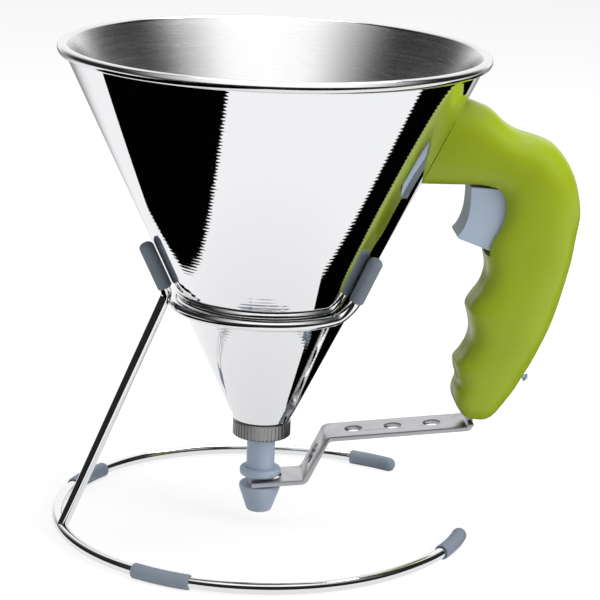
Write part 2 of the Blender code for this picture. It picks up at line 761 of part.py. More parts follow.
PIN_RADIUS = 0.0020
DRIVE_PIN_RADIUS = 0.0015
TRIGGER_WIDTH = 0.0160
ROCKER_ARM_WIDTH = 0.0080
ROCKER_BLOCK_WIDTH = 0.0120
TAIL_WIDTH = 0.0100
SPRING_COIL_RADIUS = 0.0030
SPRING_WIRE_RADIUS = 0.0005
SPRING_TURNS = 5
SPRING_BORE_RADIUS = 0.0042
SPRING_TOP_SHARE = 0.848
SPRING_X_SHARE = 0.867
SCREW_RADIUS = 0.0014
SCREW_HEAD_RADIUS = 0.0028
SCREW_HEAD_HEIGHT = 0.0018
SCREW_RECESS_DEPTH = 0.0056
SCREW_END_MARGIN = 0.0050
PIN_END_MARGIN = 0.0032
STRIP_WIDTH = 0.0170
BRACKET_THICKNESS = 0.0024
BRACKET_PAD_THICKNESS = 0.0012
BRACKET_PAD_WIDTH = 0.0160
BRACKET_BOTTOM_SHARE = 0.790
BRACKET_TOP_SHARE = 0.955
BRACKET_TONGUE_SHARES = ((0.463, 0.806), (0.729, 0.900), (0.693, 0.932))
BRACKET_SCREW_SHARES = (0.376, 0.868)

HALF_HANDLE = HANDLE_WIDTH / 2


def behind_cone(x_share, z_share):
    """A place in the handle's plane, in shares of the way from the cone to the handle's back."""
    backs = [outer for outer, _, _ in HANDLE_STATION_SHARES]
    for above, below in zip(backs, backs[1:]):
        if below[1] <= z_share:
            break
    mix = (above[1] - z_share) / (above[1] - below[1])
    back, height = grip(above[0] + (below[0] - above[0]) * mix, z_share)
    wall = cone_radius(height)
    return (wall + (back - wall) * x_share, height)


SCREW_PLACES = {"handle_screw_bracket": behind_cone(*BRACKET_SCREW_SHARES)}
SCREW_PLACES.update({name: grip(*shares) for name, shares in SCREW_SHARES.items()})


def handle_body(name):
    """The whole outer form: rounded sections lofted from the cone round to the foot."""
    rows = [(*outer, *inner, width) for outer, inner, width in HANDLE_STATION_SHARES]
    stations = spline_points(rows, STATION_STEPS)
    verts = []
    for outer_x, outer_z, inner_x, inner_z, width in stations:
        outer = Vector(grip(outer_x, outer_z))
        inner = Vector(grip(inner_x, inner_z))
        middle = (outer + inner) / 2
        half = (outer - inner) / 2
        for i in range(SECTION_POINTS):
            turn = math.tau * i / SECTION_POINTS
            along = math.copysign(abs(math.cos(turn)) ** (2 / SECTION_EXPONENT), math.cos(turn))
            across = math.copysign(abs(math.sin(turn)) ** (2 / SECTION_EXPONENT), math.sin(turn))
            point = middle + half * along
            verts.append((point.x, across * width * HALF_HANDLE, point.y))
    faces = []
    for row in range(len(stations) - 1):
        for i in range(SECTION_POINTS):
            after = (i + 1) % SECTION_POINTS
            below = row * SECTION_POINTS
            above = below + SECTION_POINTS
            faces.append((below + i, below + after, above + after, above + i))
    faces.append(tuple(range(SECTION_POINTS)))
    last = (len(stations) - 1) * SECTION_POINTS
    faces.append(tuple(last + i for i in reversed(range(SECTION_POINTS))))
    mesh = bpy.data.meshes.new(name)
    mesh.from_pydata(verts, [], faces)
    return to_mesh(place(bpy.data.objects.new(name, mesh)))


def cone_shell(name, inner_offset, outer_offset, low, high):
    """A solid ring between two offsets from the funnel's wall; inner None fills it."""
    outer = [(cone_radius(high) + outer_offset, high), (cone_radius(low) + outer_offset, low)]
    if inner_offset is None:
        return turned(name, [(0.0, high), *outer, (0.0, low)], CONE_SEGMENTS, closed=False)
    inner = [(cone_radius(low) + inner_offset, low), (cone_radius(high) + inner_offset, high)]
    return turned(name, outer + inner, CONE_SEGMENTS)


def bracket_pad(name, growth):
    """The patch that lies on the cone, grown by a clearance for its recess."""
    low = grip(0.0, BRACKET_BOTTOM_SHARE)[1] - growth
    high = grip(0.0, BRACKET_TOP_SHARE)[1] + growth
    inner = SEAT_GAP / math.cos(CONE_LEAN) - growth
    outer = (SEAT_GAP + BRACKET_PAD_THICKNESS + growth) / math.cos(CONE_LEAN)
    pad = cone_shell(name, inner, outer, low, high)
    half = BRACKET_PAD_WIDTH / 2 + growth
    trim = block(name + "_trim", (0.0, -half, low - CUT_OVERRUN), (HANDLE_REACH, half, high + CUT_OVERRUN))
    return to_mesh(boolean(pad, trim, "INTERSECT"))


def bracket_plate(name, growth):
    """The tongue between the handle's halves, grown by a clearance for its slot."""
    low = grip(0.0, BRACKET_BOTTOM_SHARE)[1] - growth
    high = grip(0.0, BRACKET_TOP_SHARE)[1] + growth
    root = (SEAT_GAP + BRACKET_PAD_THICKNESS / 2) / math.cos(CONE_LEAN)
    tongue = [behind_cone(*shares) for shares in BRACKET_TONGUE_SHARES]
    grown = [(x + growth, z + growth * (1 if z > (low + high) / 2 else -1)) for x, z in tongue]
    outline = [(cone_radius(low) + root, low), *grown, (cone_radius(high) + root, high)]
    return prism(name, outline, BRACKET_THICKNESS / 2 + growth)


def handle_bracket():
    """The steel bracket welded to the cone, whose tongue the handle is screwed to."""
    body = bracket_pad("handle_bracket", 0.0)
    boolean(body, bracket_plate("bracket_tongue", 0.0), "UNION")
    x, z = SCREW_PLACES["handle_screw_bracket"]
    hole = rod("bracket_hole", SCREW_RADIUS + SEAT_GAP, (x, -STRIP_WIDTH, z), (x, STRIP_WIDTH, z), 16)
    boolean(body, hole)
    return finish(settle(body), "satin_steel")


def button_axis():
    """The button's place on the handle's back and its direction, square to it."""
    x, z = grip(*BUTTON_SHARES)
    above = Vector(grip(*HANDLE_STATION_SHARES[21][0]))
    below = Vector(grip(*HANDLE_STATION_SHARES[23][0]))
    along = (below - above).normalized()
    return Vector((x, 0, z)), Vector((-along.y, 0, along.x))


def cross_hole(name, place_xz, radius, from_y, to_y, segments=16):
    x, z = place_xz
    return rod(name, radius, (x, from_y, z), (x, to_y, z), segments)


def handle_half(name, side):
    """One moulded half: the outer form less the other side, the cone and the hollows."""
    body = handle_body(name)
    reach = HANDLE_REACH + CUT_OVERRUN
    floor = HANDLE_FOOT_HEIGHT - CUT_OVERRUN
    top = HANDLE_FOOT_HEIGHT + HANDLE_HEIGHT + CUT_OVERRUN
    inner = side * SEAT_GAP / 2
    outer = side * (HANDLE_WIDTH / 2 + CUT_OVERRUN)
    keep = block(name + "_keep", (0, min(inner, outer), floor), (reach, max(inner, outer), top))
    boolean(body, keep, "INTERSECT")
    low = grip(0.0, BRACKET_BOTTOM_SHARE)[1] - 5 * CUT_OVERRUN
    boolean(body, cone_shell(name + "_cone", None, SEAT_GAP / math.cos(CONE_LEAN), low, RIM_HEIGHT))
    boolean(body, bracket_pad(name + "_pad", SEAT_GAP))
    boolean(body, bracket_plate(name + "_tongue", SEAT_GAP))
    pocket_half = TRIGGER_WIDTH / 2 + POCKET_GAP
    boolean(body, prism(name + "_pocket", grip_outline(TRIGGER_POCKET_SHARES), pocket_half))
    tail_half = TAIL_WIDTH / 2 + POCKET_GAP
    boolean(body, prism(name + "_tail", grip_outline(TAIL_POCKET_SHARES), tail_half))
    channel_half = ROCKER_ARM_WIDTH / 2 + POCKET_GAP
    boolean(body, prism(name + "_channel", grip_outline(ROCKER_CHANNEL_SHARES), channel_half))
    chamber_half = ROCKER_BLOCK_WIDTH / 2 + POCKET_GAP
    boolean(body, prism(name + "_chamber", grip_outline(ROCKER_CHAMBER_SHARES), chamber_half))
    boolean(body, prism(name + "_mouth", grip_outline(MOUTH_SHARES), LEG_WIDTH / 2 + POCKET_GAP))
    relief_half = STRIP_WIDTH / 2 + POCKET_GAP
    boolean(body, prism(name + "_relief", grip_outline(RELIEF_SHARES), relief_half))
    spring_x = HANDLE_REACH * SPRING_X_SHARE
    spring_top = grip(0.0, SPRING_TOP_SHARE)[1]
    spring_foot = grip(*TRIGGER_PIN_SHARES)[1] + CUT_OVERRUN
    boolean(body, rod(name + "_spring", SPRING_BORE_RADIUS, (spring_x, 0, spring_foot),
                      (spring_x, 0, spring_top), 16))
    boss = HANDLE_WIDTH / 2 - PIN_END_MARGIN
    reach_y = boss + SEAT_GAP
    pin_bore = PIN_RADIUS + SEAT_GAP
    for shares in (TRIGGER_PIN_SHARES, ROCKER_PIN_SHARES):
        boolean(body, cross_hole(name + "_pin", grip(*shares), pin_bore, -reach_y, reach_y))
    end = -HANDLE_WIDTH / 2 + SCREW_END_MARGIN - SEAT_GAP
    recess = HANDLE_WIDTH / 2 - SCREW_RECESS_DEPTH - SEAT_GAP
    shank_bore = SCREW_RADIUS + SEAT_GAP
    head_bore = SCREW_HEAD_RADIUS + SEAT_GAP
    for screw_place in SCREW_PLACES.values():
        boolean(body, cross_hole(name + "_screw", screw_place, shank_bore, end, HANDLE_WIDTH))
        boolean(body, cross_hole(name + "_head", screw_place, head_bore, recess, HANDLE_WIDTH))
    spot, out = button_axis()
    boolean(body, rod(name + "_button", BUTTON_STEM_RADIUS + RUNNING_GAP, spot - out * BUTTON_BORE_DEPTH,
                      spot + out * CUT_OVERRUN, 12))
    boolean(body, rod(name + "_collar", BUTTON_COLLAR_RADIUS + RUNNING_GAP, spot - out * BUTTON_BORE_DEPTH,
                      spot - out * BUTTON_WALL, 16))
    return finish(settle(body), "green_plastic")


def handle_screw(name):
    """A screw from the far side, into a boss of the near half."""
    x, z = SCREW_PLACES[name]
    head_bottom = HANDLE_WIDTH / 2 - SCREW_RECESS_DEPTH
    head_top = head_bottom + SCREW_HEAD_HEIGHT
    end = -HANDLE_WIDTH / 2 + SCREW_END_MARGIN
    profile = [
        (0.0, head_top), (SCREW_HEAD_RADIUS, head_top), (SCREW_HEAD_RADIUS, head_bottom),
        (SCREW_RADIUS, head_bottom), (SCREW_RADIUS, end), (0.0, end),
    ]
    screw = turned(name, profile, 12, closed=False)
    screw.rotation_euler = (-math.pi / 2, 0.0, 0.0)
    screw.location = (x, 0.0, z)
    return finish(settle(screw), "nickel")


def pivot_pin(name, shares):
    """A plain steel pin held in blind bosses of the two halves."""
    x, z = grip(*shares)
    half = HANDLE_WIDTH / 2 - PIN_END_MARGIN
    pin = rod(name, PIN_RADIUS, (x, -half, z), (x, half, z), 16)
    return finish(settle(pin), "satin_steel")


# Trigger

TRIGGER_FACE_SHARES = (
    (0.634, 0.735), (0.635, 0.700), (0.633, 0.664), (0.626, 0.632), (0.613, 0.604),
    (0.601, 0.590), (0.5985, 0.584), (0.604, 0.579), (0.660, 0.560), (0.717, 0.540),
    (0.733, 0.536), (0.763, 0.578), (0.776, 0.608), (0.789, 0.655), (0.799, 0.696), (0.797, 0.727),
    (0.702, 0.732),
)
TAIL_SHARES = ((0.790, 0.722), (0.905, 0.722), (0.905, 0.758), (0.790, 0.758))
TRIGGER_HOLLOW_SHARES = (
    (0.677, 0.493), (0.677, 0.560), (0.703, 0.655), (0.737, 0.668), (0.840, 0.668), (0.840, 0.493),
)
TRIGGER_HUB_RADIUS = 0.0045
TRIGGER_EDGE = 0.0009
HUB_SEGMENTS = 20


def trigger():
    """The squeezed blade: a hollow shell on its pin, with a tail under the return spring."""
    blade = softened(prism("trigger", grip_outline(TRIGGER_FACE_SHARES), TRIGGER_WIDTH / 2), TRIGGER_EDGE)
    pin_x, pin_z = grip(*TRIGGER_PIN_SHARES)
    half = TRIGGER_WIDTH / 2
    hub = rod("trigger_hub", TRIGGER_HUB_RADIUS, (pin_x, -half, pin_z), (pin_x, half, pin_z), HUB_SEGMENTS)
    boolean(blade, hub, "UNION")
    boolean(blade, prism("trigger_tail", grip_outline(TAIL_SHARES), TAIL_WIDTH / 2), "UNION")
    hollow_half = ROCKER_ARM_WIDTH / 2 + POCKET_GAP
    boolean(blade, prism("trigger_hollow", grip_outline(TRIGGER_HOLLOW_SHARES), hollow_half))
    reach = HANDLE_WIDTH
    boolean(blade, cross_hole("trigger_bore", (pin_x, pin_z), PIN_RADIUS + RUNNING_GAP, -reach, reach))
    drive_bore = DRIVE_PIN_RADIUS + SEAT_GAP
    boolean(blade, cross_hole("drive_bore", grip(*DRIVE_PIN_SHARES), drive_bore, -reach, reach))
    return finish(settle(blade, (pin_x, 0.0, pin_z)), "grey_plastic")


def drive_pin():
    """The cross pin in the trigger's cheeks that moves the rocker's fork."""
    x, z = grip(*DRIVE_PIN_SHARES)
    half = TRIGGER_WIDTH / 2 - SEAT_GAP
    pin_x, pin_z = grip(*TRIGGER_PIN_SHARES)
    pin = rod("drive_pin", DRIVE_PIN_RADIUS, (x, -half, z), (x, half, z), 14)
    return finish(settle(pin, (pin_x, 0.0, pin_z)), "satin_steel")


def return_spring():
    """The coil spring between the handle's roof and the trigger's tail."""
    x = HANDLE_REACH * SPRING_X_SHARE
    top = grip(0.0, SPRING_TOP_SHARE)[1] - SEAT_GAP - SPRING_WIRE_RADIUS
    bottom = grip(*TAIL_SHARES[2])[1] + SEAT_GAP + SPRING_WIRE_RADIUS
    steps = SPRING_TURNS * 9
    points = []
    for i in range(steps + 1):
        turn = math.tau * SPRING_TURNS * i / steps
        height = bottom + (top - bottom) * i / steps
        points.append((x + SPRING_COIL_RADIUS * math.cos(turn), SPRING_COIL_RADIUS * math.sin(turn), height))
    return finish(settle(wire("return_spring", points, SPRING_WIRE_RADIUS, 1)), "nickel")


# Rocker and lift arm

ROCKER_BLOCK_SHARES = ((0.667, 0.055), (0.732, 0.055), (0.770, 0.092), (0.777, 0.172), (0.688, 0.172))
ROCKER_ARM_SHARES = (
    (0.701, 0.130), (0.774, 0.130), (0.811, 0.552), (0.811, 0.618),
    (0.739, 0.618), (0.739, 0.552),
)
ROCKER_SLOT_BOTTOM_SHARE = 0.560
LEG_WIDTH = 0.0090
STRIP_THICKNESS = 0.0018
FORK_HEIGHT = 0.01735
PRONG_REACH = 0.0036
SLOT_END = 0.0036
SLOT_HALF_WIDTH = 0.0048
LOWER_BEND_X = 0.0168
UPPER_BEND_X = 0.0250
UPPER_BEND_HEIGHT = 0.0361
STRIP_BEND_RADIUS = 0.0026
LEG_FOOT_SHARES = (0.679, -0.009)
LEG_TOP_SHARES = (0.706, 0.155)
STRIP_HOLE_RADIUS = 0.0035
STRIP_HOLE_X = 0.0355
STRIP_HOLE_PITCH = 0.0151
STRIP_HOLES = 3
RISER_SLOT_LENGTH = 0.0084
SLOT_HOLE_RADIUS = 0.0030
LEG_SHOULDER_RISE = 0.0016


def strip_corners():
    """The strip's centre line: fork, riser, long run and the leg up into the handle."""
    tilt = math.tan(math.radians(ROCKER_TRAVEL_DEG))
    start = (-PRONG_REACH, FORK_HEIGHT - PRONG_REACH * tilt)
    lower = (LOWER_BEND_X, FORK_HEIGHT + LOWER_BEND_X * tilt)
    return [start, lower, (UPPER_BEND_X, UPPER_BEND_HEIGHT), grip(*LEG_FOOT_SHARES), grip(*LEG_TOP_SHARES)]


def strip_outline(path, thickness):
    """The outline of a bent strip of even thickness round its centre line."""
    upper = []
    lower = []
    for i, point in enumerate(path):
        before = path[max(i - 1, 0)]
        after = path[min(i + 1, len(path) - 1)]
        along = (after - before).normalized()
        square = Vector((-along.y, along.x, 0))
        upper.append(point + square * thickness / 2)
        lower.append(point - square * thickness / 2)
    return [(p.x, p.y) for p in upper + lower[::-1]]


def lift_arm():
    """The bent steel strip: fork, riser, perforated run and the leg that plugs into the rocker."""
    corners = [(x, z, 0) for x, z in strip_corners()]
    path = rounded_path(corners, STRIP_BEND_RADIUS, 5)
    strip = prism("lift_arm", strip_outline(path, STRIP_THICKNESS), STRIP_WIDTH / 2)
    low, high = strip_corners()[0][1], strip_corners()[4][1]
    reach = STRIP_WIDTH
    slot = rod("fork_end", SLOT_HALF_WIDTH, (SLOT_END, 0, FORK_HEIGHT - CUT_OVERRUN),
               (SLOT_END, 0, FORK_HEIGHT + CUT_OVERRUN), 24)
    boolean(strip, slot)
    boolean(strip, block("fork_slot", (-reach, -SLOT_HALF_WIDTH, FORK_HEIGHT - CUT_OVERRUN),
                         (SLOT_END, SLOT_HALF_WIDTH, FORK_HEIGHT + CUT_OVERRUN)))
    start = Vector((UPPER_BEND_X, UPPER_BEND_HEIGHT))
    end = Vector(grip(*LEG_FOOT_SHARES))
    run = (end - start).normalized()
    square = Vector((-run.y, run.x))
    for i in range(STRIP_HOLES):
        x = STRIP_HOLE_X + STRIP_HOLE_PITCH * i
        spot = start + run * (x - start.x) / run.x
        near = spot - square * CUT_OVERRUN
        far = spot + square * CUT_OVERRUN
        hole = rod("strip_hole_%d" % i, STRIP_HOLE_RADIUS, (near.x, 0, near.y), (far.x, 0, far.y), 24)
        boolean(strip, hole)
    foot = Vector(strip_corners()[1])
    rise = (start - foot).normalized()
    middle = (start + foot) / 2
    square = Vector((-rise.y, rise.x))
    for name, end_side in (("riser_hole_low", -1), ("riser_hole_high", 1)):
        spot = middle + rise * end_side * (RISER_SLOT_LENGTH / 2 - SLOT_HOLE_RADIUS)
        near = spot - square * CUT_OVERRUN / 2
        far = spot + square * CUT_OVERRUN / 2
        boolean(strip, rod(name, SLOT_HOLE_RADIUS, (near.x, 0, near.y), (far.x, 0, far.y), 20))
    inner = LEG_WIDTH / 2
    outer = STRIP_WIDTH
    shoulder = end.y + LEG_SHOULDER_RISE
    left = end.x - 2 * STRIP_BEND_RADIUS
    for name, side in (("leg_trim_near", -1), ("leg_trim_far", 1)):
        ys = sorted((side * inner, side * outer))
        boolean(strip, block(name, (left, ys[0], shoulder), (HANDLE_REACH, ys[1], high + CUT_OVERRUN)))
    pin_x, pin_z = grip(*ROCKER_PIN_SHARES)
    return finish(settle(strip, (pin_x, 0.0, pin_z)), "satin_steel")


def rocker():
    """The moulded rocker: a socket for the arm's leg, a pin bore and a fork at its top."""
    body = prism("rocker", grip_outline(ROCKER_BLOCK_SHARES), ROCKER_BLOCK_WIDTH / 2)
    boolean(body, prism("rocker_arm", grip_outline(ROCKER_ARM_SHARES), ROCKER_ARM_WIDTH / 2), "UNION")
    pin_x, pin_z = grip(*ROCKER_PIN_SHARES)
    reach = HANDLE_WIDTH
    boolean(body, cross_hole("rocker_bore", (pin_x, pin_z), PIN_RADIUS + RUNNING_GAP, -reach, reach))
    drive_x = grip(*DRIVE_PIN_SHARES)[0]
    slot_half = DRIVE_PIN_RADIUS + RUNNING_GAP
    slot_low = grip(0.0, ROCKER_SLOT_BOTTOM_SHARE)[1]
    boolean(body, block("rocker_slot", (drive_x - slot_half, -reach, slot_low),
                        (drive_x + slot_half, reach, slot_low + HANDLE_HEIGHT)))
    foot = Vector(grip(*LEG_FOOT_SHARES))
    top = Vector(grip(*LEG_TOP_SHARES))
    ahead = (top - foot).normalized()
    top = top + ahead * SEAT_GAP
    leg = strip_outline([foot.to_3d(), top.to_3d()], STRIP_THICKNESS + 2 * SEAT_GAP)
    boolean(body, prism("leg_socket", leg, LEG_WIDTH / 2 + SEAT_GAP))
    return finish(settle(body, (pin_x, 0.0, pin_z)), "white_plastic")


# Release button at the handle's back

BUTTON_STEM_RADIUS = 0.0010
BUTTON_HEAD_RADIUS = 0.0016
BUTTON_HEAD_LENGTH = 0.0012
BUTTON_NECK_LENGTH = 0.0014
BUTTON_WALL = 0.0022
BUTTON_COLLAR_RADIUS = 0.0021
BUTTON_COLLAR_LENGTH = 0.0012
BUTTON_INNER_LENGTH = 0.0030
BUTTON_BORE_DEPTH = 0.0094


def release_button():
    """The small round-headed push pin that frees the arm's leg from the rocker."""
    spot, out = button_axis()
    head = BUTTON_NECK_LENGTH + BUTTON_HEAD_LENGTH
    collar = -BUTTON_WALL - RUNNING_GAP
    profile = [
        (0.0, head),
        (BUTTON_HEAD_RADIUS * 0.6, head - BUTTON_HEAD_LENGTH * 0.14),
        (BUTTON_HEAD_RADIUS, head - BUTTON_HEAD_LENGTH / 2),
        (BUTTON_HEAD_RADIUS * 0.8, BUTTON_NECK_LENGTH),
        (BUTTON_STEM_RADIUS, BUTTON_NECK_LENGTH),
        (BUTTON_STEM_RADIUS, collar),
        (BUTTON_COLLAR_RADIUS, collar),
        (BUTTON_COLLAR_RADIUS, collar - BUTTON_COLLAR_LENGTH),
        (BUTTON_STEM_RADIUS, collar - BUTTON_COLLAR_LENGTH),
        (BUTTON_STEM_RADIUS, collar - BUTTON_COLLAR_LENGTH - BUTTON_INNER_LENGTH),
        (0.0, collar - BUTTON_COLLAR_LENGTH - BUTTON_INNER_LENGTH),
    ]
    pin = turned("release_button", profile, 16, closed=False)
    pin.rotation_euler = out.to_track_quat("Z", "Y").to_euler()
    pin.location = spot
    return finish(settle(pin, tuple(spot)), "grey_plastic")


def build():
    funnel_cone()
    outlet_collar()
    outlet_seal()
    valve_bush()
    knurled_nut()
    valve()
    valve_ring()
    base_ring()
    holder_ring()
    stand_post()
    base_cap("base_cap_front", FRONT_END_DEG + 360.0, FRONT_END_DEG + 360.0 - FRONT_CAP_DEG)
    base_cap("base_cap_rear", REAR_END_DEG, REAR_END_DEG + REAR_CAP_DEG)
    base_sleeve("base_sleeve_front", FRONT_SLEEVE_DEG + 360.0)
    base_sleeve("base_sleeve_rear", REAR_SLEEVE_DEG)
    prong_cap("prong_cap_post", POST_DEG)
    prong_cap("prong_cap_front", FRONT_PRONG_DEG)
    prong_cap("prong_cap_rear", REAR_PRONG_DEG)
    handle_bracket()
    handle_half("handle_near", -1)
    handle_half("handle_far", 1)
    for name in SCREW_PLACES:
        handle_screw(name)
    pivot_pin("trigger_pin", TRIGGER_PIN_SHARES)
    pivot_pin("rocker_pin", ROCKER_PIN_SHARES)
    trigger()
    drive_pin()
    return_spring()
    rocker()
    lift_arm()
    release_button()


build()
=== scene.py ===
"""The finished look of a batter dispenser: a steel funnel with a trigger handle in a wire stand."""

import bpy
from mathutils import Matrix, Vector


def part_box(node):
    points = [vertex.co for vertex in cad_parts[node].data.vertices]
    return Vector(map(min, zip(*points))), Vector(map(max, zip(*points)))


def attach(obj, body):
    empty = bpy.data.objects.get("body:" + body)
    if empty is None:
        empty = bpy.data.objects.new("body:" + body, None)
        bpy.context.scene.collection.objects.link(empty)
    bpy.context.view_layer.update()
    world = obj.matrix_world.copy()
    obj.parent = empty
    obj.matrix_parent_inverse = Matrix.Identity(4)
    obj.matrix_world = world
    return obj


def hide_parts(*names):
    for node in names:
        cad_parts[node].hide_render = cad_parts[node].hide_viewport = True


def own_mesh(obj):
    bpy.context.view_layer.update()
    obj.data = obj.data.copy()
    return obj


bl_info = {
    "name": "Batter dispenser",
    "version": (1, 0, 0),
    "blender": (4, 5, 0),
    "location": "View3D > Sidebar > Dispenser",
    "description": "Builds the polished, brushed and moulded pieces of a funnel with a trigger handle",
    "category": "Object",
}

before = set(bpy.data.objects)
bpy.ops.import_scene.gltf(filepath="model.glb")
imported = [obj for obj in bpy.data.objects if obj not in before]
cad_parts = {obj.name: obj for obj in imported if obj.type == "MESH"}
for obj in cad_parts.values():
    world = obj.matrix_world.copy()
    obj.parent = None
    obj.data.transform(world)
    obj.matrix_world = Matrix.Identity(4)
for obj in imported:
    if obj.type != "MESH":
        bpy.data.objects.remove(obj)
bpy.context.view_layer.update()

import math

import bmesh
import bpy
from bpy.props import FloatProperty, FloatVectorProperty, IntProperty, PointerProperty
from mathutils import Matrix, Vector

VALVE_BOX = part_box("nozzle_valve")
AXIS_X = (VALVE_BOX[0].x + VALVE_BOX[1].x) / 2
AXIS = Vector((AXIS_X, 0, 0))

# Funnel and outlet, measured from the funnel's axis at table height
RIM_RADIUS = 0.078
RIM_HEIGHT = 0.1835
BEAD_RADIUS = 0.002
SHEET = 0.0008
CONE_END_RADIUS = 0.0110
CONE_END_HEIGHT = 0.0423
CONE_LEAN = math.atan2(RIM_RADIUS - CONE_END_RADIUS, RIM_HEIGHT - CONE_END_HEIGHT)
NUT_TOP = 0.0418
NUT_BOTTOM = 0.0354
NUT_RADIUS = 0.0111

# Stand
WIRE_RADIUS = 0.0021
FOOT_RADIUS = 0.00285
BASE_RING_RADIUS = 0.0770
BASE_RING_HEIGHT = 0.00265
BASE_CENTRE = Vector((-0.00075, 0.0008, 0))
HOLDER_HEIGHT = 0.0883
PRONG_TOP = 0.1107
PRONG_CAP_RADIUS = 0.0028
PRONG_CAP_BOTTOM = 0.0952
BASE_REAR_DEG = 45.4
BASE_FRONT_DEG = 344.0
POST_DEG = 192.5
FRONT_PRONG_DEG = -37.0
REAR_PRONG_DEG = 60.0

# Handle
HANDLE_REACH = 0.1174
HANDLE_FOOT = 0.0425
HANDLE_HEIGHT = 0.1267
HANDLE_WIDTH = 0.0270
SPRING_X = HANDLE_REACH * 0.867
SPRING_TOP_SHARE = 0.848
GAP = 0.0003
POCKET_GAP = 0.0008
TRIGGER_WIDTH = 0.0160
STRIP_WIDTH = 0.0170
TRIGGER_PIN = (0.790, 0.742)
ROCKER_PIN = (0.737, 0.110)
DRIVE_PIN = (0.775, 0.588)


# Meshes

def show(obj):
    bpy.context.scene.collection.objects.link(obj)
    return obj


def mesh_object(name, verts, faces, sharp_deg=35.0):
    """A welded mesh beside the funnel's axis, with faces outwards and smooth round forms."""
    mesh = bpy.data.meshes.new(name)
    mesh.from_pydata([tuple(v) for v in verts], [], faces)
    obj = show(bpy.data.objects.new(name, mesh))
    return tidy(obj, sharp_deg)


def tidy(obj, sharp_deg=35.0):
    """Weld the points, turn the faces outwards and smooth what isn't an edge."""
    work = bmesh.new()
    work.from_mesh(obj.data)
    bmesh.ops.remove_doubles(work, verts=work.verts, dist=0.000002)
    bmesh.ops.dissolve_degenerate(work, edges=work.edges, dist=0.000002)
    bmesh.ops.recalc_face_normals(work, faces=work.faces)
    work.to_mesh(obj.data)
    work.free()
    obj.data.shade_smooth()
    obj.data.set_sharp_from_angle(angle=math.radians(sharp_deg))
    return obj


def baked(obj, sharp_deg=35.0):
    """A plain mesh object of what an object with modifiers shows."""
    bpy.context.view_layer.update()
    graph = bpy.context.evaluated_depsgraph_get()
    mesh = bpy.data.meshes.new_from_object(obj.evaluated_get(graph))
    mesh.transform(obj.matrix_world)
    name = obj.name
    cutters = [m.object for m in obj.modifiers if m.type == "BOOLEAN"]
    bpy.data.objects.remove(obj, do_unlink=True)
    for cutter in cutters:
        if cutter.name in bpy.data.objects:
            bpy.data.objects.remove(cutter, do_unlink=True)
    plain = show(bpy.data.objects.new(name, mesh))
    return tidy(plain, sharp_deg)


def boolean(obj, other, operation="DIFFERENCE"):
    """Cut or join with another object when the piece is baked."""
    change = obj.modifiers.new(operation, "BOOLEAN")
    change.operation = operation
    change.object = other
    change.solver = "EXACT"
    other.hide_render = True
    return obj


def band_faces(rings, closed):
    """Faces between neighbouring rings of points, and from the last to the first if closed."""
    faces = []
    for here, there in list(zip(rings, rings[1:])) + ([(rings[-1], rings[0])] if closed else []):
        for i in range(len(here)):
            j = (i + 1) % len(here)
            corners = tuple(dict.fromkeys((here[i], here[j], there[j], there[i])))
            if len(corners) > 2:
                faces.append(corners)
    return faces


def turned(name, profile, segments, closed=True, centre=AXIS):
    """Turn a profile of (radius, height) points about a vertical line."""
    verts, rings = [], []
    for radius, height in profile:
        if radius < 1e-7:
            rings.append([len(verts)] * segments)
            verts.append(Vector((0, 0, height)) + centre)
            continue
        rings.append(list(range(len(verts), len(verts) + segments)))
        for i in range(segments):
            turn = math.tau * i / segments
            verts.append(Vector((radius * math.cos(turn), radius * math.sin(turn), height)) + centre)
    return mesh_object(name, verts, band_faces(rings, closed))


def eased(points, radius, steps=3, closed=True):
    """An outline whose corners are rounded by up to a radius."""
    points = [Vector(p) for p in points]
    count = len(points)
    found = []
    for i, corner in enumerate(points):
        if not closed and i in (0, count - 1):
            found.append(corner)
            continue
        before = points[i - 1] - corner
        after = points[(i + 1) % count] - corner
        reach = min(radius, before.length * 0.45, after.length * 0.45)
        start = corner + before.normalized() * reach
        end = corner + after.normalized() * reach
        for k in range(steps + 1):
            t = k / steps
            found.append(start * (1 - t) ** 2 + corner * 2 * t * (1 - t) + end * t ** 2)
    return [tuple(p) for p in found]


def prism(name, outline, half_width):
    """A flat (x, z) outline in the handle's plane, with thickness along Y."""
    count = len(outline)
    verts = [Vector((x, -half_width, z)) + AXIS for x, z in outline]
    verts += [Vector((x, half_width, z)) + AXIS for x, z in outline]
    faces = [tuple(range(count)), tuple(reversed(range(count, 2 * count)))]
    for i in range(count):
        j = (i + 1) % count
        faces.append((j, i, i + count, j + count))
    return mesh_object(name, verts, faces)


def simple_form(name, make, place, **sizes):
    """An object with one of the ready-made forms."""
    mesh = bpy.data.meshes.new(name)
    work = bmesh.new()
    make(work, matrix=place, **sizes)
    work.to_mesh(mesh)
    work.free()
    return show(bpy.data.objects.new(name, mesh))


def rod(name, radius, start, end, segments=48):
    """A straight round bar between two points."""
    start = Vector(start) + AXIS
    along = Vector(end) + AXIS - start
    place = Matrix.Translation(start + along / 2) @ along.to_track_quat("Z", "Y").to_matrix().to_4x4()
    return tidy(simple_form(name, bmesh.ops.create_cone, place, cap_ends=True, segments=segments, radius1=radius,
                            radius2=radius, depth=along.length))


def block(name, low, high):
    """A box between two corners."""
    low, high = Vector(low), Vector(high)
    place = Matrix.Translation((low + high) / 2 + AXIS) @ Matrix.Diagonal((*(high - low), 1.0))
    return simple_form(name, bmesh.ops.create_cube, place, size=1.0)


def bevelled(obj, width, segments, angle_deg):
    """Round the edges that are sharper than an angle when the piece is baked."""
    edge = obj.modifiers.new("Edges", "BEVEL")
    edge.width = width
    edge.segments = segments
    edge.limit_method = "ANGLE"
    edge.angle_limit = math.radians(angle_deg)
    return obj


def evenly(start, end, steps):
    """Values from start to end in equal steps."""
    return [start + (end - start) * i / steps for i in range(steps + 1)]


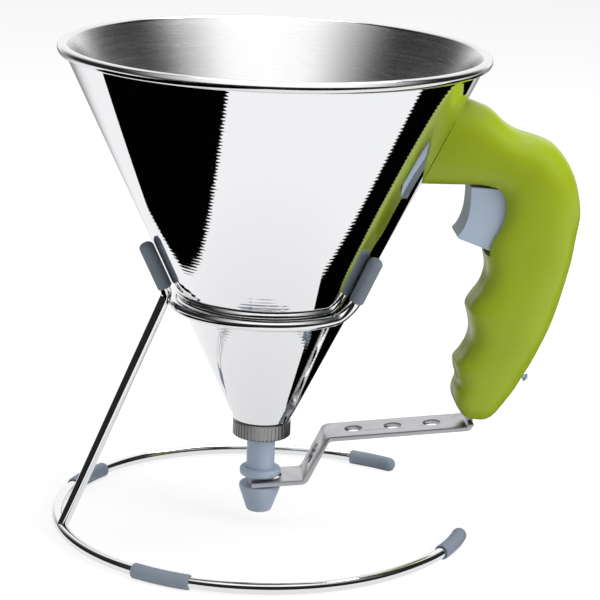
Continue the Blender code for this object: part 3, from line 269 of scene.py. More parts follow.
def catmull(a, b, c, d, t):
    """A smooth step from b to c, with a and d as the neighbours."""
    slope_b = (c - a) / 2
    slope_c = (d - b) / 2
    rise = c - b
    return b + t * (slope_b + t * (3 * rise - 2 * slope_b - slope_c + t * (slope_b + slope_c - 2 * rise)))


def spline_points(controls, steps):
    """A smooth row of points through rows of numbers."""
    ends = [controls[0], *controls, controls[-1]]
    found = []
    for near in zip(ends, ends[1:], ends[2:], ends[3:]):
        found += [tuple(catmull(*four, k / steps) for four in zip(*near)) for k in range(steps)]
    return found + [tuple(controls[-1])]


def rounded_path(corners, radius, steps):
    """A path through corners, each inner corner rounded with one radius."""
    corners = [Vector(corner) for corner in corners]
    path = [corners[0]]
    for before, corner, after in zip(corners, corners[1:], corners[2:]):
        back = (before - corner).normalized()
        ahead = (after - corner).normalized()
        half = back.angle(ahead) / 2
        middle = corner + (back + ahead).normalized() * radius / math.sin(half)
        first = corner + back * radius / math.tan(half) - middle
        last = corner + ahead * radius / math.tan(half) - middle
        sweep = first.angle(last)
        for i in range(steps + 1):
            turn = sweep * i / steps
            share = math.sin(sweep - turn) / math.sin(sweep)
            path.append(middle + first * share + last * math.sin(turn) / math.sin(sweep))
    path.append(corners[-1])
    return path


# Geometry Nodes

def new_tree(name, inputs):
    """A geometry tree, the sockets of its named inputs, and its output node."""
    tree = bpy.data.node_groups.new(name, "GeometryNodeTree")
    tree.interface.new_socket("Geometry", in_out="OUTPUT", socket_type="NodeSocketGeometry")
    for label, kind in inputs:
        tree.interface.new_socket(label, in_out="INPUT", socket_type="NodeSocket" + kind)
    return tree, tree.nodes.new("NodeGroupInput").outputs, tree.nodes.new("NodeGroupOutput")


def node(tree, kind, links=None, **settings):
    """Add a node; links give each input a value or the socket that feeds it."""
    made = tree.nodes.new(kind)
    for key, value in settings.items():
        setattr(made, key, value)
    for key, value in (links or {}).items():
        socket = made.inputs[key]
        if isinstance(value, bpy.types.NodeSocket):
            tree.links.new(value, socket)
        else:
            socket.default_value = value
    return made


def end_tree(tree, geometry, material, output):
    """Realize the instances, set the material and hand the result out."""
    real = node(tree, "GeometryNodeRealizeInstances", {"Geometry": geometry})
    painted = node(tree, "GeometryNodeSetMaterial", {"Geometry": real.outputs[0], "Material": material})
    tree.links.new(painted.outputs[0], output.inputs[0])


def grown(obj, tree, values, sharp_deg=35.0):
    """Run a tree on an object with these input values and keep the result as a mesh."""
    change = obj.modifiers.new("Form", "NODES")
    change.node_group = tree
    for item in tree.interface.items_tree:
        if item.item_type == "SOCKET" and item.in_out == "INPUT" and item.name in values:
            change[item.identifier] = values[item.name]
    return baked(obj, sharp_deg)


BAR_SIDES = 32
COIL_SIDES = 12
SLEEVE_SIDES = 40


def swept(tree, line, radius, sides):
    """A closed bar of round section along a curve."""
    section = node(tree, "GeometryNodeCurvePrimitiveCircle", {"Resolution": sides, "Radius": radius})
    return node(tree, "GeometryNodeCurveToMesh", {"Curve": line, "Profile Curve": section.outputs[0],
                                                  "Fill Caps": True}).outputs[0]


def sweep_tree():
    """A round bar along a chain of edges."""
    found = bpy.data.node_groups.get("round bar")
    if found:
        return found
    tree, given, out = new_tree("round bar", (("Line", "Geometry"), ("Radius", "Float"),
                                              ("Sides", "Int"), ("Finish", "Material")))
    line = node(tree, "GeometryNodeMeshToCurve", {"Mesh": given["Line"]})
    end_tree(tree, swept(tree, line.outputs[0], given["Radius"], given["Sides"]), given["Finish"], out)
    return tree


def bar(name, path, radius, material):
    """A round bar along points measured from the funnel's axis."""
    mesh = bpy.data.meshes.new(name)
    edges = [(i, i + 1) for i in range(len(path) - 1)]
    mesh.from_pydata([tuple(Vector(p) + AXIS) for p in path], edges, [])
    obj = show(bpy.data.objects.new(name, mesh))
    return grown(obj, sweep_tree(), {"Radius": radius, "Sides": BAR_SIDES, "Finish": material}, 40.0)


# Finishes

def finish_tree(name):
    """A new material and its tree, shader and object coordinates."""
    material = bpy.data.materials.new(name)
    material.use_nodes = True
    tree = material.node_tree
    return material, tree, tree.nodes["Principled BSDF"], tree.nodes.new("ShaderNodeTexCoord").outputs["Object"]


def set_shader(shader, colour, roughness, metallic=0.0, **more):
    shader.inputs["Base Color"].default_value = (*colour, 1.0)
    shader.inputs["Roughness"].default_value = roughness
    shader.inputs["Metallic"].default_value = metallic
    for key, value in more.items():
        shader.inputs[key.replace("_", " ")].default_value = value


def spread(tree, value, low, high, start=0.0, end=1.0, kind="LINEAR"):
    """Map a value between start and end onto a range."""
    return node(tree, "ShaderNodeMapRange", {"Value": value, "From Min": start, "From Max": end, "To Min": low,
                                             "To Max": high}, interpolation_type=kind).outputs["Result"]


def maths(tree, operation, *values):
    return node(tree, "ShaderNodeMath", dict(enumerate(values)), operation=operation).outputs[0]


def parts_of(tree, vector):
    return node(tree, "ShaderNodeSeparateXYZ", {"Vector": vector}).outputs


def noise(tree, coords, scale, detail, roughness=0.5):
    return node(tree, "ShaderNodeTexNoise", {"Vector": coords, "Scale": scale, "Detail": detail,
                                             "Roughness": roughness}).outputs["Fac"]


def grained(tree, shader, height, depth):
    """Let a pattern of heights roughen the surface."""
    bump = node(tree, "ShaderNodeBump", {"Height": height, "Strength": 1.0, "Distance": depth})
    tree.links.new(bump.outputs["Normal"], shader.inputs["Normal"])


def mottled(tree, shader, coords, scale, low, high):
    """Let the gloss vary a little over the surface."""
    tree.links.new(spread(tree, noise(tree, coords, scale, 3.0), low, high), shader.inputs["Roughness"])


def tinted(tree, shader, coords, colour, scale, amount):
    """Let the colour vary a little over the surface."""
    ramp = node(tree, "ShaderNodeValToRGB", {"Fac": noise(tree, coords, scale, 2.0)})
    for stop, place, share in zip(ramp.color_ramp.elements, (0.3, 0.7), (1 - amount, 1 + amount)):
        stop.position = place
        stop.color = (*[min(1.0, c * share) for c in colour], 1.0)
    tree.links.new(ramp.outputs["Color"], shader.inputs["Base Color"])


def round_coords(tree, coords, along, across):
    """Coordinates that stretch a pattern round the funnel's axis: along it, then up it."""
    apart = parts_of(tree, coords)
    flat = node(tree, "ShaderNodeCombineXYZ", {"X": maths(tree, "SUBTRACT", apart["X"], AXIS_X), "Y": apart["Y"]})
    unit = node(tree, "ShaderNodeVectorMath", {0: flat.outputs[0]}, operation="NORMALIZE")
    sized = node(tree, "ShaderNodeVectorMath", {0: unit.outputs[0], "Scale": along}, operation="SCALE")
    up = node(tree, "ShaderNodeCombineXYZ", {"Z": maths(tree, "MULTIPLY", apart["Z"], across)})
    return node(tree, "ShaderNodeVectorMath", {0: sized.outputs[0], 1: up.outputs[0]}).outputs[0]


def polished_steel(colours, sizes):
    """Mirror polish with the fine turning lines that break up straight reflections."""
    material, tree, shader, coords = finish_tree("polished turned steel")
    set_shader(shader, colours.steel, 0.035, 1.0)
    lines = round_coords(tree, coords, 0.25, 1.0 / sizes.turning_pitch)
    wave = node(tree, "ShaderNodeTexWave", {"Vector": coords, "Scale": 0.314 / sizes.turning_pitch,
                                            "Distortion": 0.0}, bands_direction="Z")
    both = node(tree, "ShaderNodeMix", {0: 0.62, 2: wave.outputs["Fac"], 3: noise(tree, lines, 1.6, 2.0)})
    grained(tree, shader, both.outputs[0], sizes.turning_depth)
    return material


def brushed_steel(colours, sizes):
    """The funnel's inside: brushed round and round, so that highlights spread up and down."""
    material, tree, shader, coords = finish_tree("brushed steel inside")
    set_shader(shader, colours.brushed, 0.24, 1.0, Anisotropic=0.8, Anisotropic_Rotation=0.25)
    around = node(tree, "ShaderNodeTangent", direction_type="RADIAL", axis="Z")
    tree.links.new(around.outputs[0], shader.inputs["Tangent"])
    lines = round_coords(tree, coords, 1.2, 1.0 / sizes.brush_pitch)
    streak = noise(tree, lines, 1.0, 3.0, 0.6)
    grained(tree, shader, streak, sizes.turning_depth * 1.3)
    tree.links.new(spread(tree, streak, 0.18, 0.34), shader.inputs["Roughness"])
    return material


def plain_metal(name, colour, low, high, scale, bump_depth=0.0, **more):
    """A metal whose gloss varies, with an optional fine grain."""
    material, tree, shader, coords = finish_tree(name)
    set_shader(shader, colour, (low + high) / 2, 1.0, **more)
    mottled(tree, shader, coords, scale, low, high)
    if bump_depth:
        grained(tree, shader, noise(tree, coords, scale * 6, 2.0), bump_depth)
    return material


def satin_strip(colours, sizes):
    """Rolled strip, brushed along its length."""
    material, tree, shader, coords = finish_tree("satin steel strip")
    set_shader(shader, colours.strip, 0.3, 1.0)
    long_lines = node(tree, "ShaderNodeMapping", {"Vector": coords, "Scale": (40.0, 2600.0, 120.0)})
    streak = noise(tree, long_lines.outputs[0], 1.0, 3.0)
    tree.links.new(spread(tree, streak, 0.22, 0.36), shader.inputs["Roughness"])
    grained(tree, shader, streak, 0.000006)
    return material


def moulded(name, colour, low, high, grain_depth, grain_scale, amount=0.04, **more):
    """A moulded plastic or rubber with a fine spark-eroded grain."""
    material, tree, shader, coords = finish_tree(name)
    set_shader(shader, colour, (low + high) / 2, 0.0, **more)
    tinted(tree, shader, coords, colour, 60.0, amount)
    mottled(tree, shader, coords, 90.0, low, high)
    grained(tree, shader, noise(tree, coords, grain_scale, 2.0), grain_depth)
    return material


def rubber_with_painted_shade(colours):
    """Grey rubber with painted light and shade: paler low down and to the left, darker higher up and to the right,
    as on the rest caps in the cone's shade.
    """
    material = moulded("grey rubber", colours.rubber, 0.50, 0.64, 0.00003, 1200.0, 0.05)
    tree = material.node_tree
    base = next(n for n in tree.nodes if n.type == "BSDF_PRINCIPLED").inputs["Base Color"]
    where = node(tree, "ShaderNodeVectorMath", {0: tree.nodes.new("ShaderNodeTexCoord").outputs["Object"],
                                                1: (0.5, 0.0, 1.0)}, operation="DOT_PRODUCT")
    # painted light and shade: the rubber's colour is scaled from 1.4 low down to 0.78 high up and to the right
    shade_share = spread(tree, where.outputs["Value"], 1.4, 0.78, -0.04, 0.07)
    shaded_base = node(tree, "ShaderNodeVectorMath", {0: base.links[0].from_socket, "Scale": shade_share}, operation="SCALE")
    tree.links.new(shaded_base.outputs["Vector"], base)
    return material


def finishes():
    """How each finish is made, by its plain name."""
    colours = bpy.context.scene.dispenser_colours
    sizes = bpy.context.scene.dispenser_sizes
    return {
        "polished": lambda: polished_steel(colours, sizes),
        "brushed": lambda: brushed_steel(colours, sizes),
        "wire": lambda: plain_metal("bright plated wire", colours.wire, 0.03, 0.09, 120.0),
        "bead": lambda: plain_metal("polished rolled rim", colours.bead, 0.07, 0.13, 160.0),
        "strip": lambda: satin_strip(colours, sizes),
        "nickel": lambda: plain_metal("grey nickel", colours.nickel, 0.28, 0.42, 400.0, 0.00001),
        "pin": lambda: plain_metal("ground steel", colours.strip, 0.2, 0.32, 300.0),
        "green": lambda: moulded("green moulding", colours.green, 0.27, 0.36, 0.00002, 1500.0, 0.03,
                                 Specular_IOR_Level=0.40),
        "blue_grey": lambda: moulded("blue grey moulding", colours.blue_grey, 0.42, 0.52, 0.00002, 1500.0, 0.03),
        "rubber": lambda: rubber_with_painted_shade(colours),
        "seal": lambda: moulded("black seal", (0.02, 0.02, 0.02), 0.5, 0.6, 0.00002, 1500.0, 0.1),
        "white": lambda: moulded("plain white moulding", (0.75, 0.75, 0.73), 0.35, 0.5, 0.00002, 1200.0, 0.02),
    }


def finish(name):
    """A finish by its plain name, made at its first use."""
    key = "finish " + name
    found = bpy.data.materials.get(key)
    if found is None:
        found = finishes()[name]()
        found.name = key
    return found


def coat(obj, name):
    obj.data.materials.clear()
    obj.data.materials.append(finish(name))
    return obj


def seat(obj, body, slot, *nodes):
    """The piece rides on a body and stands for its nodes; the slot is not used."""
    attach(obj, body)
    if nodes:
        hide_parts(*nodes)
    return obj


# Places

def cone_radius(height):
    share = (height - CONE_END_HEIGHT) / (RIM_HEIGHT - CONE_END_HEIGHT)
    return CONE_END_RADIUS + share * (RIM_RADIUS - CONE_END_RADIUS)


def around(angle_deg, radius, height, centre=Vector((0, 0, 0))):
    turn = math.radians(angle_deg)
    return Vector((radius * math.cos(turn), radius * math.sin(turn), height)) + centre


def grip(x_share, z_share):
    return (HANDLE_REACH * x_share, HANDLE_FOOT + HANDLE_HEIGHT * z_share)


def grip_outline(shares):
    return [grip(x, z) for x, z in shares]


# Funnel

def build_funnel(sizes):
    """The sheet cone with its rolled bead: polished outside, brushed inside."""
    lean = math.degrees(CONE_LEAN)
    wall = SHEET / math.cos(CONE_LEAN)
    rows = 24
    bead = []
    for turn_deg in evenly(180.0 - lean, -135.0, rows):
        turn = math.radians(turn_deg)
        bead.append((RIM_RADIUS + BEAD_RADIUS * math.cos(turn), RIM_HEIGHT + BEAD_RADIUS * math.sin(turn)))
    outer_top = RIM_HEIGHT - BEAD_RADIUS * math.cos(math.radians(45.0))
    outer = [(cone_radius(height), height) for height in evenly(outer_top, CONE_END_HEIGHT, rows)]
    inner = list(zip(evenly(CONE_END_RADIUS - wall, bead[0][0], rows), evenly(CONE_END_HEIGHT, bead[0][1], rows)))
    cone = turned("funnel_shell", bead + outer + inner[:-1], sizes.round_steps)
    for name in ("polished", "brushed", "bead"):
        cone.data.materials.append(finish(name))
    for face in cone.data.polygons:
        middle = face.center - AXIS
        flat = math.hypot(middle.x, middle.y)
        from_bead = math.hypot(flat - RIM_RADIUS, middle.z - RIM_HEIGHT)
        inward = face.normal.x * middle.x + face.normal.y * middle.y < 0
        if from_bead < BEAD_RADIUS * 1.02 and middle.z > outer_top - BEAD_RADIUS * 0.2:
            face.material_index = 2
        elif inward:
            face.material_index = 1
    return seat(cone, "funnel", "funnel_steel", "funnel_cone")


# Outlet

def ridge_tree():
    """Ridges set round a circle, each one block turned outwards."""
    tree, given, out = new_tree("knurl ridges", (("Core", "Geometry"), ("Count", "Int"), ("Radius", "Float"),
                                                 ("Height", "Float"), ("Size", "Vector"),
                                                 ("Centre", "Vector"), ("Finish", "Material")))
    circle = node(tree, "GeometryNodeMeshCircle", {"Vertices": given["Count"], "Radius": given["Radius"]})
    spot = node(tree, "GeometryNodeInputPosition")
    turn = node(tree, "FunctionNodeAlignRotationToVector", {"Vector": spot.outputs[0]}, axis="X")
    ridge = node(tree, "GeometryNodeMeshCube", {"Size": given["Size"]})
    set_out = node(tree, "GeometryNodeInstanceOnPoints", {"Points": circle.outputs[0], "Instance": ridge.outputs[0],
                                                          "Rotation": turn.outputs[0]})
    high = node(tree, "ShaderNodeCombineXYZ", {"Z": given["Height"]})
    place = node(tree, "ShaderNodeVectorMath", {0: high.outputs[0], 1: given["Centre"]})
    moved = node(tree, "GeometryNodeTransform", {"Geometry": set_out.outputs[0],
                                                 "Translation": place.outputs[0]})
    both = node(tree, "GeometryNodeJoinGeometry")
    tree.links.new(moved.outputs[0], both.inputs[0])
    tree.links.new(given["Core"], both.inputs[0])
    end_tree(tree, both.outputs[0], given["Finish"], out)
    return tree


def build_nut(sizes):
    """The union nut: a turned core with plain edges, and ridges round its middle."""
    bore = 0.0095
    floor = NUT_BOTTOM + 0.0012
    core = NUT_RADIUS - sizes.knurl_depth
    plain = 0.0005
    profile = [
        (bore, NUT_TOP), (NUT_RADIUS - 0.0006, NUT_TOP), (NUT_RADIUS - 0.0001, NUT_TOP - 0.0003),
        (NUT_RADIUS, NUT_TOP - plain), (core, NUT_TOP - plain - 0.0002), (core, NUT_BOTTOM + plain + 0.0002),
        (NUT_RADIUS, NUT_BOTTOM + plain), (NUT_RADIUS - 0.0006, NUT_BOTTOM), (0.0062, NUT_BOTTOM),
        (0.0062, floor), (bore, floor),
    ]
    nut = turned("union_nut_knurled", profile, 96)
    width = math.tau * NUT_RADIUS / sizes.knurl_ridges * 0.52
    values = {
        "Count": sizes.knurl_ridges,
        "Radius": NUT_RADIUS - 0.0005,
        "Height": (NUT_TOP + NUT_BOTTOM) / 2,
        "Size": (0.00098, width, NUT_TOP - NUT_BOTTOM - 2 * plain),
        "Centre": tuple(AXIS),
        "Finish": finish("nickel"),
    }
    nut = grown(nut, ridge_tree(), values)
    return seat(nut, "union_nut", "nut_nickel", "knurled_nut")


def build_nozzle():
    """The valve: a head inside the funnel, a stem with ports, a flange and a groove for the fork."""
    bush_top = 0.0442
    groove_bottom = 0.0156
    groove_top = 0.0191
    flange_top = 0.0222
    flange = 0.0079
    head_bottom = bush_top + 0.0017
    outside = [
        (0.0, head_bottom + 0.0034), (0.0035, head_bottom + 0.0031), (0.0064, head_bottom + 0.0024),
        (0.0070, head_bottom + 0.0016), (0.0070, head_bottom),
        (0.0054, head_bottom), (0.0054, flange_top),
    ]
    ring = eased([(0.0054, flange_top), (flange, flange_top), (flange, groove_top), (0.0044, groove_top)],
                 0.0013, 6, closed=False)
    tip = eased([(0.0044, groove_bottom), (flange, groove_bottom), (flange, groove_bottom - 0.0017),
                 (0.0047, 0.0048), (0.0032, 0.0048)], 0.0009, 6, closed=False)
    profile = outside + ring[1:] + tip + [(0.0032, bush_top), (0.0, bush_top)]
    body = turned("nozzle_valve_body", profile, 96, closed=False)
    port = bush_top - 0.0026
    for name, x, y in (("port_x", 0.009, 0), ("port_y", 0, 0.009)):
        boolean(body, rod(name, 0.0020, (-x, -y, port), (x, y, port), 32))
    return seat(coat(baked(body), "blue_grey"), "valve_body", "trigger_grey", "nozzle_valve")


# Stand

def base_radius(turn_deg):
    """The base ring's radius, which opens towards its two ends."""
    rear = max((91.0 - turn_deg) / (91.0 - BASE_REAR_DEG), 0.0)
    front = max((turn_deg - 310.0) / (BASE_FRONT_DEG - 310.0), 0.0)
    return BASE_RING_RADIUS + 0.0060 * rear ** 1.25 + 0.0024 * front ** 1.25


def base_points(from_deg, to_deg, steps):
    return [around(turn, base_radius(turn), BASE_RING_HEIGHT, BASE_CENTRE) for turn in
            evenly(from_deg, to_deg, steps)]


RING_OFFSET = (WIRE_RADIUS + 0.0004) / math.cos(CONE_LEAN)
PRONG_OFFSET = (PRONG_CAP_RADIUS + GAP) / math.cos(CONE_LEAN)
HOLDER_RADIUS = cone_radius(HOLDER_HEIGHT) + RING_OFFSET


def on_cone(turn, height):
    """A point of the holder ring, which stands off further where it rises under a cap."""
    rise = min(max((height - HOLDER_HEIGHT) / 0.0060, 0.0), 1.0)
    rise = rise * rise * (3 - 2 * rise)
    radius = cone_radius(height) + RING_OFFSET + (PRONG_OFFSET - RING_OFFSET) * rise
    return Vector((radius * math.cos(turn), radius * math.sin(turn), height))


def holder_path():
    rear = HOLDER_RADIUS * math.radians(REAR_PRONG_DEG - POST_DEG)
    front = HOLDER_RADIUS * math.radians(FRONT_PRONG_DEG + 360.0 - POST_DEG)
    corners = [(rear, PRONG_TOP, 0), (rear, HOLDER_HEIGHT, 0), (front, HOLDER_HEIGHT, 0), (front, PRONG_TOP, 0)]
    flat = rounded_path(corners, 0.0080, 16)
    points = []
    for before, after in zip(flat, flat[1:]):
        steps = max(1, round((after - before).length / 0.0012))
        points += [before.lerp(after, i / steps) for i in range(steps)]
    points.append(flat[-1])
    return [on_cone(math.radians(POST_DEG) + p.x / HOLDER_RADIUS, p.y) for p in points]


def post_path():
    """The post's line: up past the holder ring, then bent back along the cone."""
    turn = math.radians(POST_DEG)
    toward = Vector((math.cos(turn), math.sin(turn), 0))
    foot = BASE_CENTRE.dot(toward) + BASE_RING_RADIUS
    lean = 0.4
    for _ in range(6):
        passing = HOLDER_RADIUS + (2 * WIRE_RADIUS + GAP) / math.cos(lean)
        lean = math.atan2(foot - passing, HOLDER_HEIGHT - BASE_RING_HEIGHT)
    prong = cone_radius(HOLDER_HEIGHT) + PRONG_OFFSET
    bend = HOLDER_HEIGHT + (passing - prong) / (math.tan(CONE_LEAN) + math.tan(lean))
    start = around(POST_DEG, foot, BASE_RING_HEIGHT)
    middle = around(POST_DEG, cone_radius(bend) + PRONG_OFFSET, bend)
    top = around(POST_DEG, cone_radius(PRONG_TOP) + PRONG_OFFSET, PRONG_TOP)
    return rounded_path([start, middle, top], 0.0060, 16)


def build_stand():
    for name, path, cad in (("base_wire", base_points(BASE_REAR_DEG, BASE_FRONT_DEG, 180), "base_ring"),
                            ("holder_wire", holder_path(), "holder_ring"), ("post_wire", post_path(), "stand_post")):
        seat(bar(name, path, WIRE_RADIUS, finish("wire")), "stand", "stand_wire", cad)


def sleeve_walk(path, radius, edge, tip):
    """Points in through the bore and back over the outside, each with its share of the radius."""
    bore = (WIRE_RADIUS + GAP * 0.5) / radius
    share = edge / radius
    start, end = path[0], path[-1]
    inward = (path[1] - start).normalized()
    ahead = (end - path[-2]).normalized()
    lip = ((0.0, bore), (0.0, 1.0 - share), (0.3, 1.0 - share * 0.3), (1.0, 1.0))
    walk = [(path[-2], 0.0)] if tip else [(end, bore)]
    walk += [(point, bore) for point in path[-2:0:-1]]
    walk += [(start + inward * edge * reach, size) for reach, size in lip]
    walk += [(point, 1.0) for point in path[1:-1]]
    if tip:
        for turn in evenly(0.0, math.pi / 2, 10):
            walk.append((end + ahead * tip * math.sin(turn), max(math.cos(turn), 0.0) ** 0.8))
    else:
        walk += [(end - ahead * edge * reach, size) for reach, size in reversed(lip)]
    return walk


def build_sleeve(name, path, radius, edge, tip, node_name):
    """A rubber tube or cap as one closed skin, swept round its own line."""
    verts, loops = [], []
    along = (path[1] - path[0]).normalized()
    side = along.orthogonal().normalized()
    if abs(along.z) < 0.5:
        side = Vector((0, 0, 1))
    for point, size in sleeve_walk(path, radius, edge, tip):
        near = min(range(len(path)), key=lambda k: (path[k] - point).length)
        before = path[max(near - 1, 0)]
        after = path[min(near + 1, len(path) - 1)]
        along = (after - before).normalized()
        across = (side - along * side.dot(along)).normalized()
        square = along.cross(across)
        loops.append(range(len(verts), len(verts) + SLEEVE_SIDES))
        for k in range(SLEEVE_SIDES):
            turn = math.tau * k / SLEEVE_SIDES
            spot = point + (across * math.cos(turn) + square * math.sin(turn)) * radius * size
            if node_name.startswith("base"):
                spot.z = max(spot.z, 0.0)
            verts.append(spot + AXIS)
    piece = mesh_object(name, verts, band_faces(loops, not tip), 50.0)
    return seat(coat(piece, "rubber"), "stand", "foot_rubber", node_name)


def build_rubber(sizes):
    edge = sizes.rubber_edge
    for name, start, end, cad in (("foot_cap_front", 329.0, BASE_FRONT_DEG, "base_cap_front"),
                                  ("foot_cap_rear", 57.5, BASE_REAR_DEG, "base_cap_rear")):
        build_sleeve(name, base_points(start, end, 24), FOOT_RADIUS, edge, 0.0026, cad)
    half = math.degrees(0.0229 / 2 / BASE_RING_RADIUS)
    for name, middle, cad in (("foot_sleeve_front", 240.2, "base_sleeve_front"),
                              ("foot_sleeve_rear", 149.2, "base_sleeve_rear")):
        build_sleeve(name, base_points(middle - half, middle + half, 28), FOOT_RADIUS, edge, 0.0, cad)
    for name, turn, cad in (("rest_cap_post", POST_DEG, "prong_cap_post"),
                            ("rest_cap_front", FRONT_PRONG_DEG, "prong_cap_front"),
                            ("rest_cap_rear", REAR_PRONG_DEG, "prong_cap_rear")):
        path = [around(turn, cone_radius(height) + PRONG_OFFSET, height)
                for height in evenly(PRONG_CAP_BOTTOM, PRONG_TOP, 24)]
        build_sleeve(name, path, PRONG_CAP_RADIUS, edge, 0.0020, cad)


# Handle

STATION_SHARES = (
    ((0.562, 1.000), (0.434, 0.7385), 0.84),
    ((0.607, 0.991), (0.481, 0.7375), 0.84),
    ((0.649, 0.978), (0.545, 0.7375), 0.85),
    ((0.694, 0.959), (0.609, 0.738), 0.86),
    ((0.743, 0.920), (0.663, 0.738), 0.88),
    ((0.788, 0.898), (0.694, 0.734), 0.91),
    ((0.848, 0.882), (0.714, 0.727), 0.94),
    ((0.901, 0.860), (0.732, 0.709), 0.97),
    ((0.944, 0.815), (0.741, 0.682), 1.00),
    ((0.974, 0.763), (0.740, 0.648), 1.00),
    ((0.991, 0.710), (0.727, 0.612), 1.00),
    ((1.000, 0.650), (0.702, 0.567), 1.00),
    ((0.991, 0.579), (0.697, 0.531), 1.00),
    ((0.983, 0.521), (0.705, 0.493), 1.00),
    ((0.973, 0.474), (0.705, 0.460), 1.00),
    ((0.960, 0.421), (0.692, 0.422), 1.00),
    ((0.945, 0.365), (0.664, 0.385), 1.00),
    ((0.933, 0.328), (0.651, 0.358), 1.00),
    ((0.920, 0.293), (0.658, 0.331), 0.99),
    ((0.901, 0.252), (0.667, 0.290), 0.99),
    ((0.883, 0.215), (0.661, 0.251), 0.98),
    ((0.865, 0.181), (0.642, 0.215), 0.98),
    ((0.850, 0.156), (0.621, 0.189), 0.97),
    ((0.835, 0.130), (0.624, 0.161), 0.96),
    ((0.820, 0.106), (0.632, 0.133), 0.95),
    ((0.806, 0.087), (0.624, 0.108), 0.94),
    ((0.792, 0.069), (0.621, 0.085), 0.93),
    ((0.778, 0.052), (0.627, 0.064), 0.91),
    ((0.764, 0.036), (0.639, 0.043), 0.85),
    ((0.747, 0.023), (0.653, 0.027), 0.74),
    ((0.728, 0.016), (0.676, 0.017), 0.52),
)
POCKET_SHARES = (
    (0.560, 0.530), (0.714, 0.528), (0.790, 0.515), (0.822, 0.515), (0.846, 0.572), (0.846, 0.735),
    (0.836, 0.786), (0.711, 0.786), (0.711, 0.729), (0.560, 0.729),
)
TAIL_POCKET_SHARES = ((0.801, 0.700), (0.926, 0.700), (0.926, 0.812), (0.801, 0.812))
CHANNEL_SHARES = (
    (0.695, 0.138), (0.729, 0.521), (0.729, 0.612), (0.872, 0.643), (0.872, 0.517), (0.806, 0.138),
)
CHAMBER_SHARES = ((0.655, 0.043), (0.738, 0.043), (0.785, 0.084), (0.796, 0.185), (0.678, 0.185))
MOUTH_SHARES = ((0.655, -0.080), (0.709, -0.080), (0.711, 0.060), (0.663, 0.060))
RELIEF_SHARES = ((0.640, -0.080), (0.712, -0.080), (0.712, 0.026), (0.640, 0.026))
SCREW_SHARES = ((0.668, 0.868), (0.800, 0.840), (0.928, 0.612), (0.851, 0.272))
TONGUE_SHARES = ((0.712, 0.806), (0.722, 0.900), (0.680, 0.932))
PAD_SHARES = (0.790, 0.955)
BUTTON_SHARES = (0.847, 0.142)
BUTTON_STATIONS = (21, 23)
BUTTON_STEM = 0.0010
BUTTON_COLLAR = 0.0021
BUTTON_BORE_DEPTH = 0.0094
PIN_RADIUS = 0.0020
SCREW_RADIUS = 0.0014
SCREW_HEAD_RADIUS = 0.0028
SCREW_HEAD_DEPTH = 0.0056
SCREW_POINT_DEPTH = 0.0050
PAD_THICKNESS = 0.0012
PAD_HALF_WIDTH = 0.0080
TONGUE_HALF_WIDTH = 0.0012
SECTION_POINTS = 64
STATION_STEPS = 6
SECTION_EXPONENT = 2.7
FINGER_EXPONENT = 4.4
SIDE_CROWN = 0.10


def handle_form(name):
    """The moulded outside, lofted through rounded sections from the cone to the foot."""
    rows = [(*outer, *inner, width) for outer, inner, width in STATION_SHARES]
    stations = spline_points(rows, STATION_STEPS)
    verts = []
    for outer_x, outer_z, inner_x, inner_z, width in stations:
        outer = Vector(grip(outer_x, outer_z))
        inner = Vector(grip(inner_x, inner_z))
        middle = (outer + inner) / 2
        half = (outer - inner) / 2
        for i in range(SECTION_POINTS):
            turn = math.tau * i / SECTION_POINTS
            power = 2 / (SECTION_EXPONENT if math.cos(turn) > 0 else FINGER_EXPONENT)
            along = math.copysign(abs(math.cos(turn)) ** power, math.cos(turn))
            across = math.copysign(abs(math.sin(turn)) ** power, math.sin(turn))
            across *= 1 - SIDE_CROWN * along * along
            point = middle + half * along
            verts.append(Vector((point.x, across * width * HANDLE_WIDTH / 2, point.y)) + AXIS)
    rings = [range(row, row + SECTION_POINTS) for row in range(0, len(verts), SECTION_POINTS)]
    return mesh_object(name, verts, band_faces(rings, False) + [tuple(rings[0]), tuple(reversed(rings[-1]))])


def cone_band(name, inner_offset, outer_offset, low, high):
    """A solid round the cone between two offsets, or filled when there is no inner one."""
    outer = [(cone_radius(high) + outer_offset, high), (cone_radius(low) + outer_offset, low)]
    if inner_offset is None:
        return turned(name, [(0.0, high), *outer, (0.0, low)], 256, closed=False)
    inner = [(cone_radius(low) + inner_offset, low), (cone_radius(high) + inner_offset, high)]
    return turned(name, outer + inner, 256)


def pad_span():
    return [grip(0.0, share)[1] + gap for share, gap in zip(PAD_SHARES, (-GAP, GAP))]


def pad_recess(name):
    """Room for the bracket's pad between the handle and the cone."""
    low, high = pad_span()
    pad = cone_band(name, -GAP, (2 * GAP + PAD_THICKNESS) / math.cos(CONE_LEAN), low, high)
    half = PAD_HALF_WIDTH + GAP
    boolean(pad, block(name + "_trim", (0.0, -half, low - 0.004), (HANDLE_REACH, half, high + 0.004)), "INTERSECT")
    return baked(pad)


def tongue_slot(name):
    """Room for the bracket's tongue inside the handle."""
    low, high = pad_span()
    root = (GAP + PAD_THICKNESS / 2) / math.cos(CONE_LEAN)
    middle = (low + high) / 2
    tongue = [grip(x, z) for x, z in TONGUE_SHARES]
    wider = [(x + GAP, z + GAP * (1 if z > middle else -1)) for x, z in tongue]
    return prism(name, [(cone_radius(low) + root, low), *wider, (cone_radius(high) + root, high)],
                 TONGUE_HALF_WIDTH + GAP)


def button_line():
    """The button's place on the back of the grip, and the way out."""
    x, z = grip(*BUTTON_SHARES)
    above, below = (Vector(grip(*STATION_SHARES[i][0])) for i in BUTTON_STATIONS)
    along = (below - above).normalized()
    return Vector((x, 0, z)), Vector((-along.y, 0, along.x))


def cross_hole(name, shares, radius, from_y, to_y):
    x, z = grip(*shares)
    return rod(name, radius, (x, from_y, z), (x, to_y, z))


